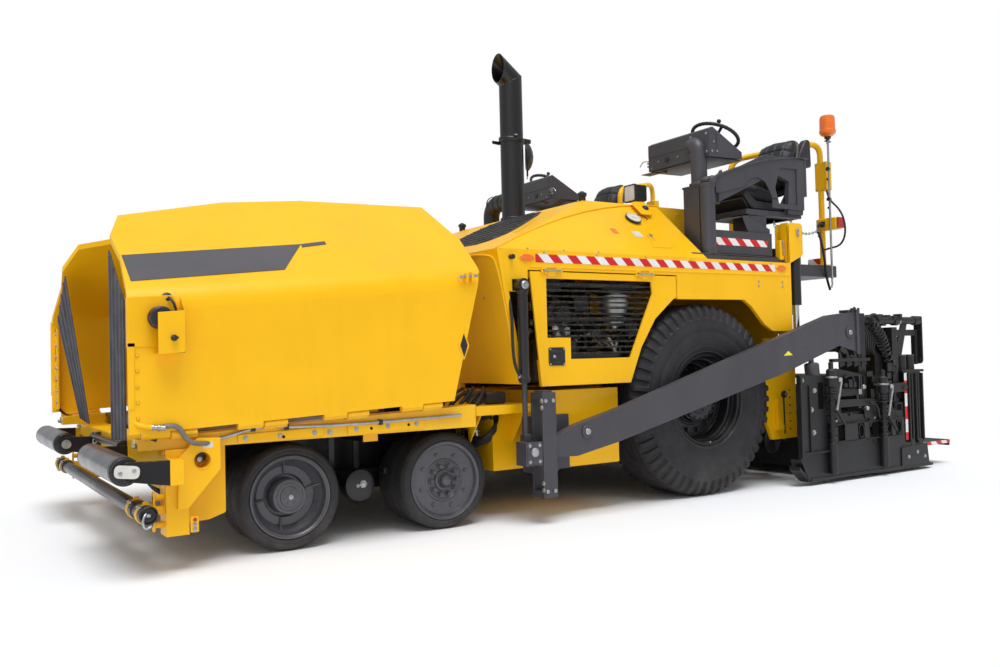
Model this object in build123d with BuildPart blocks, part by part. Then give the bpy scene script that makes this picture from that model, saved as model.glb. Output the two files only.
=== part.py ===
"""A wheeled asphalt paver: hopper in front, tractor in the middle, screed behind.

Millimetres. +X points forward to the hopper, +Y to the machine's left, +Z up. The origin is on
the ground under the middle of the machine. Stations (x) are given from the drive axle, and the
plane and block helpers below move them to the machine's own origin.
"""
import os
from math import atan2, cos, degrees, radians, sin, tan

from build123d import *

os.makedirs("parts", exist_ok=True)

# ---------------------------------------------------------------- driving dimensions
front_reach = 3930          # drive axle to the front of the push rollers
rear_reach = 2850           # drive axle to the back of the walkway
axle_x = (rear_reach - front_reach) / 2

running_gap = 0.1           # radial gap of a turning part on its shaft
move_gap = 6                # gap between parts that pass each other
seat_gap = 0.3              # gap of a soft part to its seat

# drive wheels
drive_tyre_r = 674
drive_tyre_width = 445
drive_outer_y = 1390        # outer face of the drive tyre
drive_bead_r = 330
drive_hub_r = 150
drive_spindle_r = 60

# bogie wheels, two each side, all steered
bogie_tyre_r = 286
bogie_tyre_width = 356
bogie_outer_y = 1224
bogie_bead_r = 205
bogie_front_x = 2983
bogie_rear_x = 2030
kingpin_y = 1000
kingpin_r = 28
kingpin_eye_r = 50
spindle_r = 42

# frame
rail_inner_y = 550
rail_outer_y = 650
rail_bottom_z = 380
rail_top_z = 760
hinge_rail_inner_y = 1210
hinge_rail_outer_y = 1330
hinge_rail_bottom_z = 600
bed_thick = 40              # engine bed on top of the rails

# body
body_half = 1370            # outer face of the side panels
panel_thick = 30
belt_z = 1665               # crease between side panel and hood
belt_bottom_z = 1540        # lower edge of the striped rail
sill_z = 820                # lower edge of the doors
wall_top_x = 1730           # front wall at the belt
wall_bottom_x = 1580        # front wall at its lower edge
wall_bottom_z = 840
wall_thick = 34
body_rear_x = -920
hood_top_z = 2110
hood_top_front_x = 660
hood_top_half = 860
hood_rear_x = -500
hood_slope_rear_x = -40     # the sloping sides end here, ahead of the stations

# hopper wings
wing_outer_y = 1390
wing_thick = 30
wing_front_x = 3830
wing_rear_x = 1860
wing_bend_front_z = 1350
wing_bend_rear_z = 1510
wing_bend_r = 170
wing_lean = 56.0            # lean of the upper panel from upright, degrees
wing_upper_width = 1050     # upper panel before its edge is cut
hinge_front_z = 668
hinge_rear_z = 755
hinge_y = 1370
hinge_r = 16

# tow points, arms and screed
guide_x = 1480
guide_outer_y = 1520
tow_pin_x = 1580
tow_pin_z = 430
tow_pin_r = 20
tow_cylinder_y = 1410
tow_cylinder_r = 32
tow_rod_r = 16
arm_inner_y = 1438
arm_outer_y = 1498
screed_half = 1500
screed_bottom_z = 70
end_gate_y = 1525
lift_x = -1050              # screed lift cylinders
lift_y = 1300

# auger between tractor and screed
auger_x = -1100
auger_z = 330
auger_shaft_r = 40
auger_stub_r = 26
auger_flight_r = 150
auger_half = 1150
auger_box_half = 54
auger_beam_z = 640

# operator's stations
station_pivot_x = -145
station_pivot_y = 1285
pivot_r = 36
wheel_hub_x = -460
wheel_hub_y = 1080
wheel_hub_z = 2640
steering_wheel_r = 190

# push rollers
roller_r = 70
roller_x = front_reach - roller_r
roller_z = 520
roller_inner_y = 480
roller_outer_y = 1440
roller_shaft_r = 20
beam_front_x = 3660         # front face of the front cross beam
beam_rear_x = 3500
beam_bottom_z = 400
beam_top_z = 600


# ---------------------------------------------------------------- helpers
def side(y):
    """Side view plane: x from the drive axle, then height. Extrudes towards the right."""
    return Plane(origin=(axle_x, y, 0), x_dir=(1, 0, 0), z_dir=(0, -1, 0))


def level(z):
    """Plan view plane at a height: x from the drive axle, then y. Extrudes upwards."""
    return Plane(origin=(axle_x, 0, z))


def across(x):
    """Cross section plane at a station: y, then height. Extrudes forwards."""
    return Plane(origin=(axle_x + x, 0, 0), x_dir=(0, 1, 0), z_dir=(1, 0, 0))


def block(x0, x1, y0, y1, z0, z1, mode=Mode.ADD):
    """A block between two stations, two widths and two heights."""
    with Locations((axle_x + (x0 + x1) / 2, (y0 + y1) / 2, (z0 + z1) / 2)):
        Box(abs(x1 - x0), abs(y1 - y0), abs(z1 - z0), mode=mode)


def plate(plane, points, thickness, mode=Mode.ADD):
    """A flat plate with straight edges, extruded from a plane."""
    with BuildSketch(plane) as outline:
        with BuildLine():
            Polyline(*points, close=True)
        make_face()
    extrude(outline.sketch, amount=thickness, mode=mode)


def wall_rear_x(z):
    """Rear face of the leaning front wall at a height."""
    return (wall_bottom_x - wall_thick
            + (z - wall_bottom_z) * (wall_top_x - wall_bottom_x) / (belt_z - wall_bottom_z))


def cross_bar(x, z, y0, y1, radius, mode=Mode.ADD):
    """A round bar that lies across the machine."""
    with Locations((axle_x + x, (y0 + y1) / 2, z)):
        Cylinder(radius, abs(y1 - y0), rotation=(90, 0, 0), mode=mode)


def post(x, y, z0, z1, radius, mode=Mode.ADD):
    """An upright round bar."""
    with Locations((axle_x + x, y, (z0 + z1) / 2)):
        Cylinder(radius, z1 - z0, mode=mode)


def turned(x, z, points, mode=Mode.ADD):
    """A ring turned about a cross axis; points are y and radius."""
    centre = Plane(origin=(axle_x + x, 0, z), x_dir=(0, 1, 0), z_dir=(1, 0, 0))
    with BuildSketch(centre) as profile:
        with BuildLine():
            Polyline(*points, close=True)
        make_face()
    revolve(profile.sketch, axis=Axis((axle_x + x, 0, z), (0, 1, 0)), mode=mode)


def tube(points, radius, bend):
    """A round tube along straight runs joined by arcs; points are station, y and height."""
    with BuildLine() as path:
        FilletPolyline(*[(axle_x + x, y, z) for x, y, z in points], radius=bend)
    with BuildSketch(Plane(origin=path.line @ 0, z_dir=path.line % 0)) as ring:
        Circle(radius)
    sweep(ring.sketch, path=path.line)


def save(part, name):
    """Labels a finished piece and writes it."""
    part.label = name
    export_step(part, f"parts/{name}.step")


def save_pair(part, name):
    """Writes a left piece and its mirror image for the right side."""
    save(part, f"{name}_left")
    with BuildPart() as right:
        mirror(part, about=Plane.XZ)
    save(right.part, f"{name}_right")


# ---------------------------------------------------------------- wing geometry, shared with the frame
slope_dir = (-sin(radians(wing_lean)), cos(radians(wing_lean)))
slope_out = (cos(radians(wing_lean)), sin(radians(wing_lean)))
mitre = wing_thick * tan(radians(wing_lean / 2))
hinge_slope = (hinge_rear_z - hinge_front_z) / (wing_front_x - wing_rear_x)
hinge_tilt = degrees(atan2(hinge_rear_z - hinge_front_z, wing_front_x - wing_rear_x))
# along the hinge from its front end: local x inwards, local y up
hinge_line = Plane(origin=(axle_x + wing_front_x, hinge_y, hinge_front_z), x_dir=(0, -1, 0),
                   z_dir=(-cos(radians(hinge_tilt)), 0, sin(radians(hinge_tilt))))
hinge_length = 260
hinge_starts = (60, 520, 980, 1440)         # along the hinge from the front
knuckle_share = 0.5


def fixed_hinges():
    """Fixed knuckles, leaves and pins of the left wing's hinges."""
    for start in hinge_starts:
        fixed_start = start + hinge_length * knuckle_share + move_gap
        fixed_length = hinge_length * (1 - knuckle_share) - move_gap
        leaf_width = hinge_y - hinge_rail_outer_y
        with BuildSketch(hinge_line.offset(fixed_start)) as knuckle:
            Circle(hinge_r)
        extrude(knuckle.sketch, amount=fixed_length)
        with BuildSketch(hinge_line.offset(fixed_start)) as leaf:
            with Locations((leaf_width / 2 + 10, -hinge_r / 2 - 8)):
                Rectangle(leaf_width + 20, hinge_r + 4)
        extrude(leaf.sketch, amount=fixed_length)
        with BuildSketch(hinge_line.offset(start)) as pin:
            Circle(hinge_r / 2)
        extrude(pin.sketch, amount=hinge_length)


# ---------------------------------------------------------------- main frame
frame_rear_x = -880
frame_front_x = beam_rear_x
hinge_rail_front_x = 3780
floor_z = 450               # top of the cross members, under the conveyor floor
member_height = 60
cross_member_x = (-800, 100, 1000, 1860, 2700, 3380)
member_width = 90
outrigger_x = (3400, 2507)
outrigger_half_z = 50
pivot_hanger_bottom_z = 200
bogie_pivot_x = (bogie_front_x + bogie_rear_x) / 2

with BuildPart() as main_frame:
    for s in (1, -1):
        block(frame_rear_x, frame_front_x, s * rail_inner_y, s * rail_outer_y,
              rail_bottom_z, hinge_rail_bottom_z)
        block(frame_rear_x, wall_bottom_x, s * rail_inner_y, s * rail_outer_y,
              hinge_rail_bottom_z, rail_top_z)
        # tapered rail that carries the wing's hinges
        outline = [(1880, hinge_rail_bottom_z), (hinge_rail_front_x, hinge_rail_bottom_z),
                   (hinge_rail_front_x, hinge_front_z - 12), (1880, hinge_rear_z - 24)]
        y_high = max(s * hinge_rail_inner_y, s * hinge_rail_outer_y)
        plate(side(y_high), outline, hinge_rail_outer_y - hinge_rail_inner_y)
        # outriggers over the bogie wheels
        for x in outrigger_x:
            block(x - 45, x + 45, s * rail_outer_y, s * hinge_rail_inner_y,
                  hinge_rail_bottom_z - outrigger_half_z, hinge_rail_bottom_z + outrigger_half_z)
        # shelf behind the hinge rail, back to the tow guides
        block(1430, 1880, s * rail_outer_y, s * (body_half - 60), 660, 715)
        # hanger plate for the bogie's pivot
        block(bogie_pivot_x - 110, bogie_pivot_x + 110, s * rail_inner_y, s * rail_outer_y,
              pivot_hanger_bottom_z, rail_bottom_z)
    for x in cross_member_x:
        block(x - member_width / 2, x + member_width / 2, -rail_inner_y, rail_inner_y,
              floor_z - member_height, floor_z)
    block(frame_rear_x, wall_bottom_x, -rail_outer_y, rail_outer_y, rail_top_z, rail_top_z + bed_thick)
    # box that carries the augers' inner ends
    block(auger_x - 50, auger_x + 50, -auger_box_half, auger_box_half, auger_z - 60, auger_beam_z + 60)
    block(auger_x + 50, frame_rear_x, -auger_box_half, auger_box_half, auger_beam_z, auger_beam_z + 60)
    cross_bar(auger_x, auger_z, -auger_box_half - 90, auger_box_half + 90, auger_stub_r)
    block(frame_rear_x, frame_rear_x + 60, -rail_inner_y, rail_inner_y, auger_beam_z, rail_top_z)
with BuildPart() as left_hinges:
    fixed_hinges()
with BuildPart() as frame_with_hinges:
    add(main_frame.part)
    add(left_hinges.part)
    mirror(left_hinges.part, about=Plane.XZ)
save(frame_with_hinges.part, "main_frame")

# ---------------------------------------------------------------- front cross beam
post_rear_x = 3550
post_inner_y = 1240
post_outer_y = 1360
post_bottom_z = 180
eye_x = 3490                # tie-down eye
eye_z = 540
eye_r = 40
eye_plate_thick = 22
eye_pocket = 60             # depth of the blind pocket behind the eye
eye_boss_half = 52
arm_thick = 30
inner_arm_y = roller_inner_y - 5

with BuildPart() as front_beam:
    block(beam_rear_x, beam_front_x, -post_outer_y, post_outer_y, beam_bottom_z, beam_top_z)
    for s in (1, -1):
        block(post_rear_x, beam_front_x, s * post_inner_y, s * post_outer_y,
              post_bottom_z, beam_bottom_z)
        y_high = max(s * post_outer_y, s * (post_outer_y + eye_plate_thick))
        plate(side(y_high), [(3400, 490), (3560, 310), (beam_front_x - 50, 310), (3600, 560),
                             (3510, 650), (3400, 645)], eye_plate_thick)
        block(eye_x - eye_boss_half, eye_x + eye_boss_half,
              s * (post_outer_y - eye_pocket - 20), s * (post_outer_y + 1),
              eye_z - eye_boss_half, eye_z + eye_boss_half)
        cross_bar(eye_x, eye_z, s * (post_outer_y - eye_pocket),
                  s * (post_outer_y + eye_plate_thick + 1), eye_r, mode=Mode.SUBTRACT)
        # arms and shaft of the push roller
        for y in (inner_arm_y - arm_thick, roller_outer_y + 5):
            y_high = max(s * y, s * (y + arm_thick))
            plate(side(y_high), [(beam_front_x, 440), (roller_x, roller_z - 45),
                                 (roller_x + 40, roller_z), (roller_x, roller_z + 45),
                                 (beam_front_x, 560)], arm_thick)
        block(beam_front_x - 60, beam_front_x, s * post_outer_y, s * (roller_outer_y + 5 + arm_thick),
              440, 560)
        cross_bar(roller_x, roller_z, s * (inner_arm_y - arm_thick),
                  s * (roller_outer_y + 5 + arm_thick + 6), roller_shaft_r)
save(front_beam.part, "front_beam")

# push rollers
with BuildPart() as push_roller:
    cross_bar(roller_x, roller_z, roller_inner_y, roller_outer_y, roller_r)
    cross_bar(roller_x, roller_z, roller_inner_y, roller_outer_y, roller_shaft_r + running_gap,
              mode=Mode.SUBTRACT)
save_pair(push_roller.part, "push_roller")

# hitch bar under the rollers
hitch_x = 3760
hitch_z = 307
hitch_r = 38
hitch_half = 1450
hitch_ring_y = (-1390, -1180, 1180, 1390)
with BuildPart() as hitch_bar:
    cross_bar(hitch_x, hitch_z, -hitch_half, hitch_half, hitch_r)
    for y in hitch_ring_y:
        cross_bar(hitch_x, hitch_z, y - 14, y + 14, hitch_r + 12)
    for y in (-1300, 1300):
        block(beam_front_x, hitch_x, y - 30, y + 30, hitch_z - 20, hitch_z + 20)
save(hitch_bar.part, "hitch_bar")

# ---------------------------------------------------------------- hopper
deck_rear_x = -1000
deck_thick = 24
cover_half = 45
side_rear_x = 1790
with BuildPart() as hopper_floor:
    block(deck_rear_x, beam_rear_x - 4, -rail_inner_y + 1, rail_inner_y - 1, floor_z,
          floor_z + deck_thick)
    # middle cover between the two conveyor chains
    plate(across(side_rear_x), [(-cover_half, floor_z + deck_thick), (cover_half, floor_z + deck_thick),
                                (12, floor_z + 110), (-12, floor_z + 110)],
          beam_rear_x - 4 - side_rear_x)
    # shelves beside the conveyors, under the wings
    for s in (1, -1):
        plate(across(1880), [(s * (rail_inner_y + 10), hinge_rail_bottom_z),
                             (s * rail_outer_y, hinge_rail_bottom_z),
                             (s * rail_outer_y, hinge_rail_bottom_z + 50),
                             (s * (hinge_rail_inner_y - 1), hinge_rail_bottom_z + 50),
                             (s * (hinge_rail_inner_y - 1), hinge_rail_bottom_z + 74),
                             (s * (rail_outer_y - 6), hinge_rail_bottom_z + 74),
                             (s * (rail_inner_y + 10), hinge_rail_bottom_z + 20)],
              beam_rear_x - 4 - 1880)
save(hopper_floor.part, "hopper_floor")

# wings, raised: an upright lower panel, a wide bend and an upper panel that leans inwards


def wing_section(x, foot_z, bend_z):
    """Section of the wing's sheet at a station."""
    top_y = wing_outer_y + slope_dir[0] * wing_upper_width
    top_z = bend_z + slope_dir[1] * wing_upper_width
    inner_y = wing_outer_y - wing_thick
    with BuildSketch(across(x)) as section:
        with BuildLine():
            outer = FilletPolyline((wing_outer_y, foot_z), (wing_outer_y, bend_z), (top_y, top_z),
                                   radius=wing_bend_r)
            inner = FilletPolyline((inner_y, foot_z), (inner_y, bend_z - mitre),
                                   (top_y - wing_thick * slope_out[0],
                                    top_z - wing_thick * slope_out[1]),
                                   radius=wing_bend_r - wing_thick)
            Line(outer @ 0, inner @ 0)
            Line(outer @ 1, inner @ 1)
        make_face()
    return section.sketch


with BuildPart() as wing:
    front = wing_section(wing_front_x, hinge_front_z + hinge_r, wing_bend_front_z)
    rear = wing_section(wing_rear_x - 80, hinge_rear_z + hinge_r + 4, wing_bend_rear_z + 7)
    loft([front, rear], ruled=True)
    # edge of the upper panel, in plan
    edge = [(wing_front_x, wing_outer_y + 20), (3800, 1060), (3813, 880), (3738, 688), (3136, 565),
            (2650, 555), (1849, 654), (1794, 1044), (wing_rear_x, wing_outer_y + 20)]
    plate(level(0), edge, 3000, mode=Mode.INTERSECT)
    # slanted rear edge of the lower panel
    plate(side(wing_outer_y + 20), [(wing_rear_x - 90, wing_bend_rear_z), (wing_rear_x, wing_bend_rear_z),
                                    (2070, hinge_rear_z - 40), (wing_rear_x - 90, hinge_rear_z - 40)],
          wing_thick + 60, mode=Mode.SUBTRACT)
    # front flange
    plate(across(wing_front_x - 40), [(wing_outer_y - wing_thick, hinge_front_z + 40),
                                      (wing_outer_y - 110, hinge_front_z + 40),
                                      (wing_outer_y - 110, wing_bend_front_z - 60),
                                      (wing_outer_y - wing_thick, wing_bend_front_z - 60)], 12)
    for start in hinge_starts:
        with BuildSketch(hinge_line.offset(start)) as knuckle:
            Circle(hinge_r)
        extrude(knuckle.sketch, amount=hinge_length * knuckle_share)
        with BuildSketch(hinge_line.offset(start)) as leaf:
            with Locations((hinge_y - wing_outer_y + wing_thick / 2, hinge_r)):
                Rectangle(wing_thick, 2 * hinge_r)
        extrude(leaf.sketch, amount=hinge_length * knuckle_share)
        with BuildSketch(hinge_line.offset(start)) as bore:
            Circle(hinge_r / 2 + running_gap)
        extrude(bore.sketch, amount=hinge_length * knuckle_share, mode=Mode.SUBTRACT)
save_pair(wing.part, "wing")

# ---------------------------------------------------------------- bogies and their wheels
beam_inner_y = 700
beam_outer_y = 790
eye_half_height = 55
with BuildPart() as bogie_beams:
    block(bogie_rear_x - 60, bogie_front_x + 60, beam_inner_y, beam_outer_y, bogie_tyre_r - 60,
          bogie_tyre_r + 60)
    for x in (bogie_front_x, bogie_rear_x):
        block(x - 36, x + 36, beam_outer_y, kingpin_y, bogie_tyre_r - 45, bogie_tyre_r + 45)
        post(x, kingpin_y, bogie_tyre_r - eye_half_height, bogie_tyre_r + eye_half_height, kingpin_eye_r)
        post(x, kingpin_y, bogie_tyre_r - eye_half_height, bogie_tyre_r + eye_half_height,
             kingpin_r + running_gap, mode=Mode.SUBTRACT)
    cross_bar(bogie_pivot_x, bogie_tyre_r, rail_outer_y, kingpin_y - 20, 60)
    mirror(about=Plane.XZ)
save(bogie_beams.part, "bogie_beams")

yoke_gap = 1
yoke_thick = 22
yoke_web_y = kingpin_y + kingpin_eye_r + move_gap + 4
yoke_web_thick = 26
rim_face_y = bogie_outer_y + 20
bogie_table = (             # name, station, dished disc
    ("bogie_front", bogie_front_x, True),
    ("bogie_rear", bogie_rear_x, False),
)
for name, x, dished in bogie_table:
    with BuildPart() as knuckle:
        post(x, kingpin_y, bogie_tyre_r - eye_half_height - yoke_gap - yoke_thick,
             bogie_tyre_r + eye_half_height + yoke_gap + yoke_thick, kingpin_r)
        for z in (bogie_tyre_r - eye_half_height - yoke_gap - yoke_thick,
                  bogie_tyre_r + eye_half_height + yoke_gap):
            block(x - 45, x + 45, kingpin_y - 40, yoke_web_y + yoke_web_thick, z, z + yoke_thick)
        block(x - 45, x + 45, yoke_web_y, yoke_web_y + yoke_web_thick,
              bogie_tyre_r - eye_half_height - yoke_gap - yoke_thick,
              bogie_tyre_r + eye_half_height + yoke_gap + yoke_thick)
        spindle_end_y = (bogie_outer_y - 4 if dished else rim_face_y) - 12
        cross_bar(x, bogie_tyre_r, yoke_web_y + yoke_web_thick, spindle_end_y, spindle_r)
    save_pair(knuckle.part, f"{name}_knuckle")

    # solid rubber tyre bonded to its cast rim
    inner_y = bogie_outer_y - bogie_tyre_width
    disc_y = bogie_outer_y - 100 if dished else bogie_outer_y - 30
    hub_face_y = bogie_outer_y - 4 if dished else rim_face_y
    hub_drum_r = 100 if dished else 72
    lip_depth = 60 if dished else 18
    with BuildPart() as wheel:
        turned(x, bogie_tyre_r, [(inner_y + 18, bogie_bead_r - 16), (inner_y, bogie_bead_r + 22),
                                 (inner_y, bogie_tyre_r - 26), (inner_y + 22, bogie_tyre_r),
                                 (bogie_outer_y - 22, bogie_tyre_r),
                                 (bogie_outer_y, bogie_tyre_r - 26),
                                 (bogie_outer_y, bogie_bead_r + 22),
                                 (bogie_outer_y - lip_depth, bogie_bead_r - 16)])
        turned(x, bogie_tyre_r, [(disc_y - 22, spindle_r + running_gap),
                                 (disc_y - 22, bogie_bead_r - 10), (disc_y, bogie_bead_r - 10),
                                 (disc_y, hub_drum_r + 14), (hub_face_y - 14, hub_drum_r),
                                 (hub_face_y - 14, 60), (hub_face_y, 52), (hub_face_y, 0),
                                 (hub_face_y - 11, 0), (hub_face_y - 11, spindle_r + running_gap)])
        if dished:
            # cone from the rim's lip in to the disc
            turned(x, bogie_tyre_r, [(bogie_outer_y - 58, bogie_bead_r - 14), (disc_y - 1, 160),
                                     (disc_y - 21, 160), (disc_y - 21, bogie_bead_r - 6),
                                     (bogie_outer_y - 64, bogie_bead_r - 6)])
    save_pair(wheel.part, f"{name}_wheel")

# ---------------------------------------------------------------- drive wheels
drive_inner_y = drive_outer_y - drive_tyre_width
tread_drop = 34             # tread shoulder below the crown
with BuildPart() as drive_tyre:
    turned(0, drive_tyre_r, [(drive_inner_y + 28, drive_bead_r), (drive_inner_y + 8, drive_bead_r + 40),
                             (drive_inner_y, 500), (drive_inner_y + 18, drive_tyre_r - tread_drop - 30),
                             (drive_inner_y + 46, drive_tyre_r - 12), (drive_inner_y + 110, drive_tyre_r),
                             (drive_outer_y - 110, drive_tyre_r), (drive_outer_y - 46, drive_tyre_r - 12),
                             (drive_outer_y - 18, drive_tyre_r - tread_drop - 30),
                             (drive_outer_y, 500), (drive_outer_y - 8, drive_bead_r + 40),
                             (drive_outer_y - 28, drive_bead_r)])
save_pair(drive_tyre.part, "drive_tyre")

drive_disc_y = 1200
with BuildPart() as drive_rim:
    turned(0, drive_tyre_r, [(drive_inner_y + 28, drive_bead_r), (drive_outer_y - 28, drive_bead_r),
                             (drive_outer_y - 28, drive_bead_r - 14), (1320, drive_bead_r - 22),
                             (1290, drive_bead_r - 50), (drive_inner_y + 60, drive_bead_r - 50),
                             (drive_inner_y + 28, drive_bead_r - 14)])
    turned(0, drive_tyre_r, [(drive_disc_y - 24, drive_spindle_r + running_gap),
                             (drive_disc_y - 24, drive_bead_r - 45), (drive_disc_y, drive_bead_r - 45),
                             (drive_disc_y, 170), (drive_disc_y + 60, 150), (drive_disc_y + 100, 140),
                             (drive_disc_y + 110, 90), (drive_disc_y + 110, 0),
                             (drive_disc_y + 85, 0), (drive_disc_y + 85, drive_spindle_r + running_gap)])
save_pair(drive_rim.part, "drive_rim")

with BuildPart() as drive_hubs:
    cross_bar(0, drive_tyre_r, rail_outer_y, drive_inner_y + 20, drive_hub_r)
    cross_bar(0, drive_tyre_r, drive_inner_y + 20, drive_disc_y - 30, 110)
    cross_bar(0, drive_tyre_r, drive_disc_y - 30, drive_disc_y + 80, drive_spindle_r)
    mirror(about=Plane.XZ)
save(drive_hubs.part, "drive_hubs")

# ---------------------------------------------------------------- tractor body
arch = [(700, sill_z), (600, 1050), (470, 1240), (300, 1375), (-400, 1380), (-480, 1330),
        (-610, 1200), (-700, 1150)]
door_front_top_x = 1500
door_front_bottom_x = 1430
door_rear_top_x = 270
door_gap = 8
cheek_z = 1405
door_hinge_z = belt_bottom_z - 10
door_hinge_y = body_half + 8
door_hinge_x = (1330, 560)
door_hinge_r = 7
with BuildPart() as side_panel:
    # striped rail along the belt
    plate(side(body_half), [(wall_rear_x(belt_z), belt_z), (wall_rear_x(belt_bottom_z), belt_bottom_z),
                            (body_rear_x, belt_bottom_z), (body_rear_x, belt_z)], panel_thick)
    # cheek above the tow cylinder
    plate(side(body_half), [(wall_rear_x(belt_bottom_z), belt_bottom_z),
                            (door_front_top_x + door_gap, belt_bottom_z),
                            (door_front_top_x + door_gap, cheek_z), (wall_rear_x(cheek_z), cheek_z)],
          panel_thick)
    # panel over the drive wheel
    plate(side(body_half), [(door_rear_top_x - door_gap, belt_bottom_z), (body_rear_x, belt_bottom_z),
                            (body_rear_x, 1150), arch[7], arch[6], arch[5], arch[4],
                            (door_rear_top_x - door_gap, 1376)], panel_thick)
    # fixed halves of the door's hinges
    for x in door_hinge_x:
        for dx in (-58, 58):
            with Locations((axle_x + x + dx, door_hinge_y, door_hinge_z)):
                Cylinder(door_hinge_r, 44, rotation=(0, 90, 0))
            block(x + dx - 22, x + dx + 22, body_half, door_hinge_y + 2, door_hinge_z, belt_bottom_z + 22)
save_pair(side_panel.part, "side_panel")

# side doors, hung from the belt
door_thick = 26
grille_bars = 13
grille = [(1370, 1490), (500, 1490), (490, 1410), (700, 985), (1190, 985), (1190, 1120), (1370, 1120)]
with BuildPart() as side_door:
    plate(side(body_half), [(door_front_top_x - door_gap, belt_bottom_z - door_gap),
                            (door_front_bottom_x - door_gap, sill_z), arch[0], arch[1], arch[2], arch[3],
                            (door_rear_top_x, 1388), (door_rear_top_x, belt_bottom_z - door_gap)],
          door_thick)
    plate(side(body_half + 1), grille, door_thick + 2, mode=Mode.SUBTRACT)
    for i in range(grille_bars):
        z = 985 + (i + 1) * (1490 - 985) / (grille_bars + 1)
        rear_x = max(490, 700 - (z - 985) * 210 / 425)
        front_x = 1190 if z < 1120 else 1370
        block(rear_x - 5, front_x + 5, body_half - 22, body_half - 12, z - 5, z + 5)
    for x in door_hinge_x:
        with Locations((axle_x + x, door_hinge_y, door_hinge_z)):
            Cylinder(door_hinge_r, 60, rotation=(0, 90, 0))
        block(x - 30, x + 30, body_half - 4, door_hinge_y, door_hinge_z - 26, door_hinge_z - 1)
save_pair(side_door.part, "side_door")

# front wall behind the hopper, leaning back at its foot
with BuildPart() as front_wall:
    plate(side(body_half), [(wall_top_x, belt_z), (wall_top_x - wall_thick, belt_z),
                            (wall_bottom_x - wall_thick, wall_bottom_z),
                            (wall_bottom_x, wall_bottom_z)], 2 * body_half)
    block(wall_bottom_x - wall_thick, wall_bottom_x, -rail_outer_y, rail_outer_y,
          rail_top_z + bed_thick, wall_bottom_z)
save(front_wall.part, "front_wall")

# hood: a tapered shell over the engine, with a straight box behind it
hood_wall = 20
hatch_rear_x = -40
hatch_front_x = 380
hatch_half = 380
hatch_lap = 20
with BuildPart() as hood:
    with BuildSketch(level(belt_z)) as foot:
        with Locations(((wall_top_x + hood_slope_rear_x) / 2, 0)):
            Rectangle(wall_top_x - hood_slope_rear_x, 2 * body_half)
    with BuildSketch(level(hood_top_z)) as crown:
        with Locations(((hood_top_front_x + hood_slope_rear_x) / 2, 0)):
            Rectangle(hood_top_front_x - hood_slope_rear_x, 2 * hood_top_half)
    loft([foot.sketch, crown.sketch], ruled=True)
    block(hood_rear_x, hood_slope_rear_x, -hood_top_half, hood_top_half, belt_z, hood_top_z)
    with BuildSketch(level(belt_z)) as inner_foot:
        with Locations(((wall_top_x + hood_slope_rear_x) / 2 - 15, 0)):
            Rectangle(wall_top_x - hood_slope_rear_x - 2 * hood_wall - 30, 2 * body_half - 60)
    with BuildSketch(level(hood_top_z - hood_wall)) as inner_crown:
        with Locations(((hood_top_front_x + hood_slope_rear_x) / 2, 0)):
            Rectangle(hood_top_front_x - hood_slope_rear_x - 2 * hood_wall, 2 * hood_top_half - 20)
    loft([inner_foot.sketch, inner_crown.sketch], ruled=True, mode=Mode.SUBTRACT)
    block(hood_rear_x + hood_wall, hood_slope_rear_x + hood_wall + 1, -hood_top_half + hood_wall,
          hood_top_half - hood_wall, belt_z, hood_top_z - hood_wall, mode=Mode.SUBTRACT)
    block(hatch_rear_x + hatch_lap, hatch_front_x - hatch_lap, -hatch_half + hatch_lap,
          hatch_half - hatch_lap, hood_top_z - hood_wall - 1, hood_top_z + 1, mode=Mode.SUBTRACT)
save(hood.part, "hood")

hatch_thick = 12
hatch_hinge_z = hood_top_z + 14
hatch_hinge_r = 8
with BuildPart() as hood_hatch:
    block(hatch_rear_x + 12, hatch_front_x, -hatch_half, hatch_half, hood_top_z + 0.5,
          hood_top_z + hatch_thick)
    for y in (-250, 250):
        cross_bar(hatch_rear_x, hatch_hinge_z, y - 40, y + 40, hatch_hinge_r)
        block(hatch_rear_x, hatch_rear_x + 30, y - 40, y + 40, hatch_hinge_z, hatch_hinge_z + 8)
        block(hatch_rear_x + 14, hatch_rear_x + 30, y - 40, y + 40, hood_top_z + 1, hatch_hinge_z + 8)
save(hood_hatch.part, "hood_hatch")

# rear wall, with the tunnel for the conveyors left open
rear_wall_thick = 30
tunnel_half = rail_outer_y
with BuildPart() as rear_wall:
    wall_half = body_half - panel_thick
    plate(across(body_rear_x), [(-wall_half, belt_z), (-wall_half, 1130), (-930, 1130), (-930, 330),
                                (-tunnel_half, 330), (-tunnel_half, 900), (tunnel_half, 900),
                                (tunnel_half, 330), (930, 330), (930, 1130), (wall_half, 1130),
                                (wall_half, belt_z)], rear_wall_thick)
    # cheeks outside the auger, behind the drive wheels
    for s in (1, -1):
        y_high = max(s * 1250, s * 1220)
        plate(side(y_high), [(-740, 1100), (-1080, 1100), (-1080, 330), (-800, 330), (-740, 460)], 30)
        block(body_rear_x, body_rear_x + rear_wall_thick, s * 900, s * 1230, 1050, 1130)
save(rear_wall.part, "rear_wall")

# tanks low on both sides between the bogie and the drive wheel
with BuildPart() as side_tanks:
    block(760, 1330, rail_outer_y, 1300, 300, 790)
    block(1330, 1650, rail_outer_y, 1150, 300, 660)
    mirror(about=Plane.XZ)
save(side_tanks.part, "side_tanks")

with BuildPart() as engine_block:
    block(250, 1400, -400, 400, rail_top_z + bed_thick, 1480)
    block(560, 1200, -300, 300, 1480, 1700)
save(engine_block.part, "engine_block")

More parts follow.
